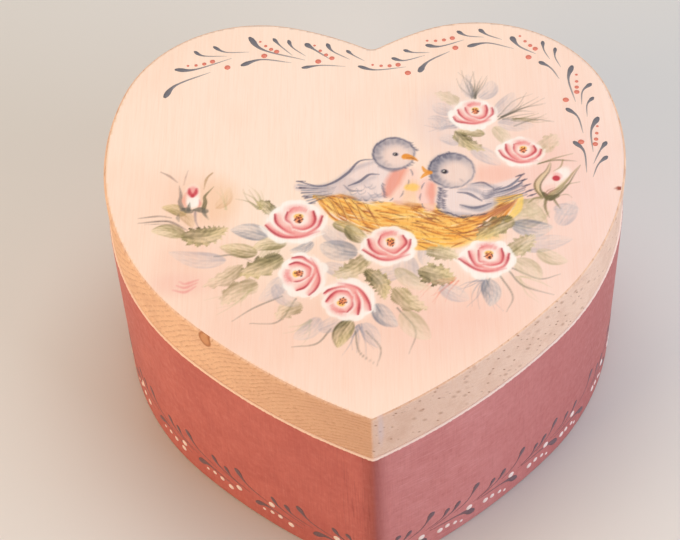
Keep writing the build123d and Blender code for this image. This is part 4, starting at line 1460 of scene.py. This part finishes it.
def box_border():
    """Comma strokes and white dots round the foot, from the point back to the cleft on both sides."""
    strokes, dots = Relief(painted_wall, BOX_ROSE), Relief(painted_wall, BOX_ROSE)
    borders = ((-1, LEFT_SPRIG, LEFT_PLACES), (1, RIGHT_SPRIG, RIGHT_PLACES))
    for side, (commas, row), places in borders:
        for start, large_along, large_height in places:
            for head, bend, tail, width in commas:
                if start + head[0] < 6:
                    continue
                shift = random.uniform(-0.6, 0.6, 2)
                route = []
                for along, height in (head, bend, tail):
                    route.append((side * max(start + along + shift[0], 2.0), height + shift[1]))
                strokes.comma(route, width * random.uniform(0.74, 0.94), BOX_STROKE, 0.10, 0.66, 0.26)
            for along, height, radius in row:
                if start + along > 4:
                    shift = random.uniform(-0.25, 0.25, 2)
                    dots.dot((side * (start + along + shift[0]), height + shift[1]), radius, BOX_WHITE, 0.24)
            if start + large_along > 4:
                dots.dot((side * (start + large_along), large_height), 1.2, BOX_WHITE, 0.24)
    strokes.build("box_border_strokes", stroke_paint("blue grey foot paint", 0.42), "box", "painted_wood")
    dots.build("box_border_dots", stroke_paint("white dot paint", 0.38), "box", "painted_wood")


def felt_lining():
    """The felt cut to the hollow, lying a little unevenly on the floor board."""
    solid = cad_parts["floor_felt"].data
    places = np.array([vertex.co for vertex in solid.vertices]) / MM
    low, top = places[:, 2].min(), places[:, 2].max()
    rim = np.unique(np.round(places[places[:, 2] > top - 0.01][:, :2], 3), axis=0)
    middle = (rim.min(0) + rim.max(0)) / 2
    rim = rim[np.argsort(np.arctan2(*(rim - middle).T[::-1]))]
    loop = np.vstack([rim, rim[:1]])
    run = lengths_along(loop)
    even = np.linspace(0, run[-1], 361)[:-1]
    loop = np.column_stack(at_lengths(even, run, loop)) - middle
    rows = [(1.0, low), (1.0, top - 0.35), (0.9965, top - 0.1)]
    rows += [(share, top) for share in np.linspace(0.985, 0.04, 28)]
    points = []
    for share, height in rows:
        ring = middle + loop * share
        level = np.full(len(ring), height)
        if height == top:
            wave = 0.10 * np.sin(ring[:, 0] * 0.13 + 1) * np.sin(ring[:, 1] * 0.11)
            level = height - 0.12 + wave + random.uniform(-0.03, 0.03, len(ring))
        points.append(np.column_stack([ring, level]))
    count = len(loop)
    faces = [tuple(range(count))[::-1]] + ring_faces(len(rows), count)
    last = (len(rows) - 1) * count
    faces.append(tuple(range(last, last + count)))
    piece = make_piece("felt_lining", np.vstack(points) * MM, faces, felt_cloth(), "box")
    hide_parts("floor_felt")


def dress_cad_nodes():
    """Materials for the CAD pieces that stay in view."""
    ring_wood = inner_wood("sawn ring wood", (236, 204, 168), (212, 168, 126), (-8.0, -40.0), 1.9)
    panel_wood = inner_wood("thin panel wood", (224, 190, 148), (198, 154, 108), (10.0, 160.0), 2.6)
    steel = pin_steel()
    materials = {
        "lid_board": board_wood(), "lid_locating_panel": panel_wood, "floor_board": panel_wood,
        "wall_upper_ring": ring_wood, "wall_middle_ring": ring_wood, "wall_lower_ring": ring_wood,
        "lid_panel_pins": steel, "floor_pins": steel,
    }
    for name, material in materials.items():
        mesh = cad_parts[name].data
        mesh.materials.clear()
        mesh.materials.append(material)


# ---- Studio ----
def studio_floor():
    """A wide pale floor just under the box."""
    mesh = bpy.data.meshes.new("studio_floor")
    half, drop = 3.0, -0.0002
    corners = [(-half, -half, drop), (half, -half, drop), (half, half, drop), (-half, half, drop)]
    mesh.from_pydata(corners, [], [(0, 1, 2, 3)])
    mesh.materials.append(floor_surface())
    floor = bpy.data.objects.new("studio_floor", mesh)
    bpy.context.scene.collection.objects.link(floor)


def area_light(name, place, aim, size, power, colour):
    """A soft square lamp at place, in metres, that faces aim."""
    lamp = bpy.data.lights.new(name, "AREA")
    lamp.size = size
    lamp.energy = power
    lamp.color = colour
    holder = bpy.data.objects.new(name, lamp)
    holder.location = place
    holder.rotation_euler = (Vector(aim) - Vector(place)).to_track_quat("-Z", "Y").to_euler()
    bpy.context.scene.collection.objects.link(holder)


def studio_lights():
    """A lamp behind and above, a warm one on the left, a cool one on the right and a faint even light."""
    middle = (0, 0, 0.05)
    area_light("top_softbox", (0.05, 0.35, 0.95), middle, 0.7, 4.9, (1.0, 0.98, 0.96))
    area_light("left_warm_softbox", (-0.75, -0.45, 0.40), middle, 0.5, 5.3, (1.0, 0.71, 0.39))
    area_light("right_cool_softbox", (0.80, -0.40, 0.38), middle, 0.6, 5.5, (0.80, 0.88, 1.0))
    world = bpy.data.worlds.new("studio")
    world.use_nodes = True
    glow = world.node_tree.nodes["Background"].inputs
    glow["Color"].default_value = (1.0, 0.985, 0.97, 1.0)
    glow["Strength"].default_value = 0.24
    bpy.context.scene.world = world


def studio_camera():
    """A long lens that looks down on the lid, rolled slightly."""
    aim = Vector((-7.34, -23.84, LID_TOP)) * MM
    distance = 0.5838
    azimuth, elevation, roll = math.radians(2.26), math.radians(52.0), math.radians(-2.95)
    flat = math.cos(elevation)
    back = Vector((math.sin(azimuth) * flat, -math.cos(azimuth) * flat, math.sin(elevation)))
    level = (-back).cross(Vector((0, 0, 1))).normalized()
    upright = level.cross(-back)
    right = level * math.cos(roll) + upright * math.sin(roll)
    up = upright * math.cos(roll) - level * math.sin(roll)
    lens = bpy.data.cameras.new("camera")
    lens.lens = 106.8
    lens.sensor_width = 36.0
    lens.clip_start, lens.clip_end = 0.01, 20.0
    camera = bpy.data.objects.new("camera", lens)
    turn = Matrix((right, up, back)).transposed().to_4x4()
    camera.matrix_world = Matrix.Translation(aim + back * distance) @ turn
    bpy.context.scene.collection.objects.link(camera)
    bpy.context.scene.camera = camera
    bpy.context.scene.view_settings.view_transform = "Standard"


dress_cad_nodes()
lid_picture()
lid_border()
box_skin()
box_border()
felt_lining()
studio_floor()
studio_lights()
studio_camera()
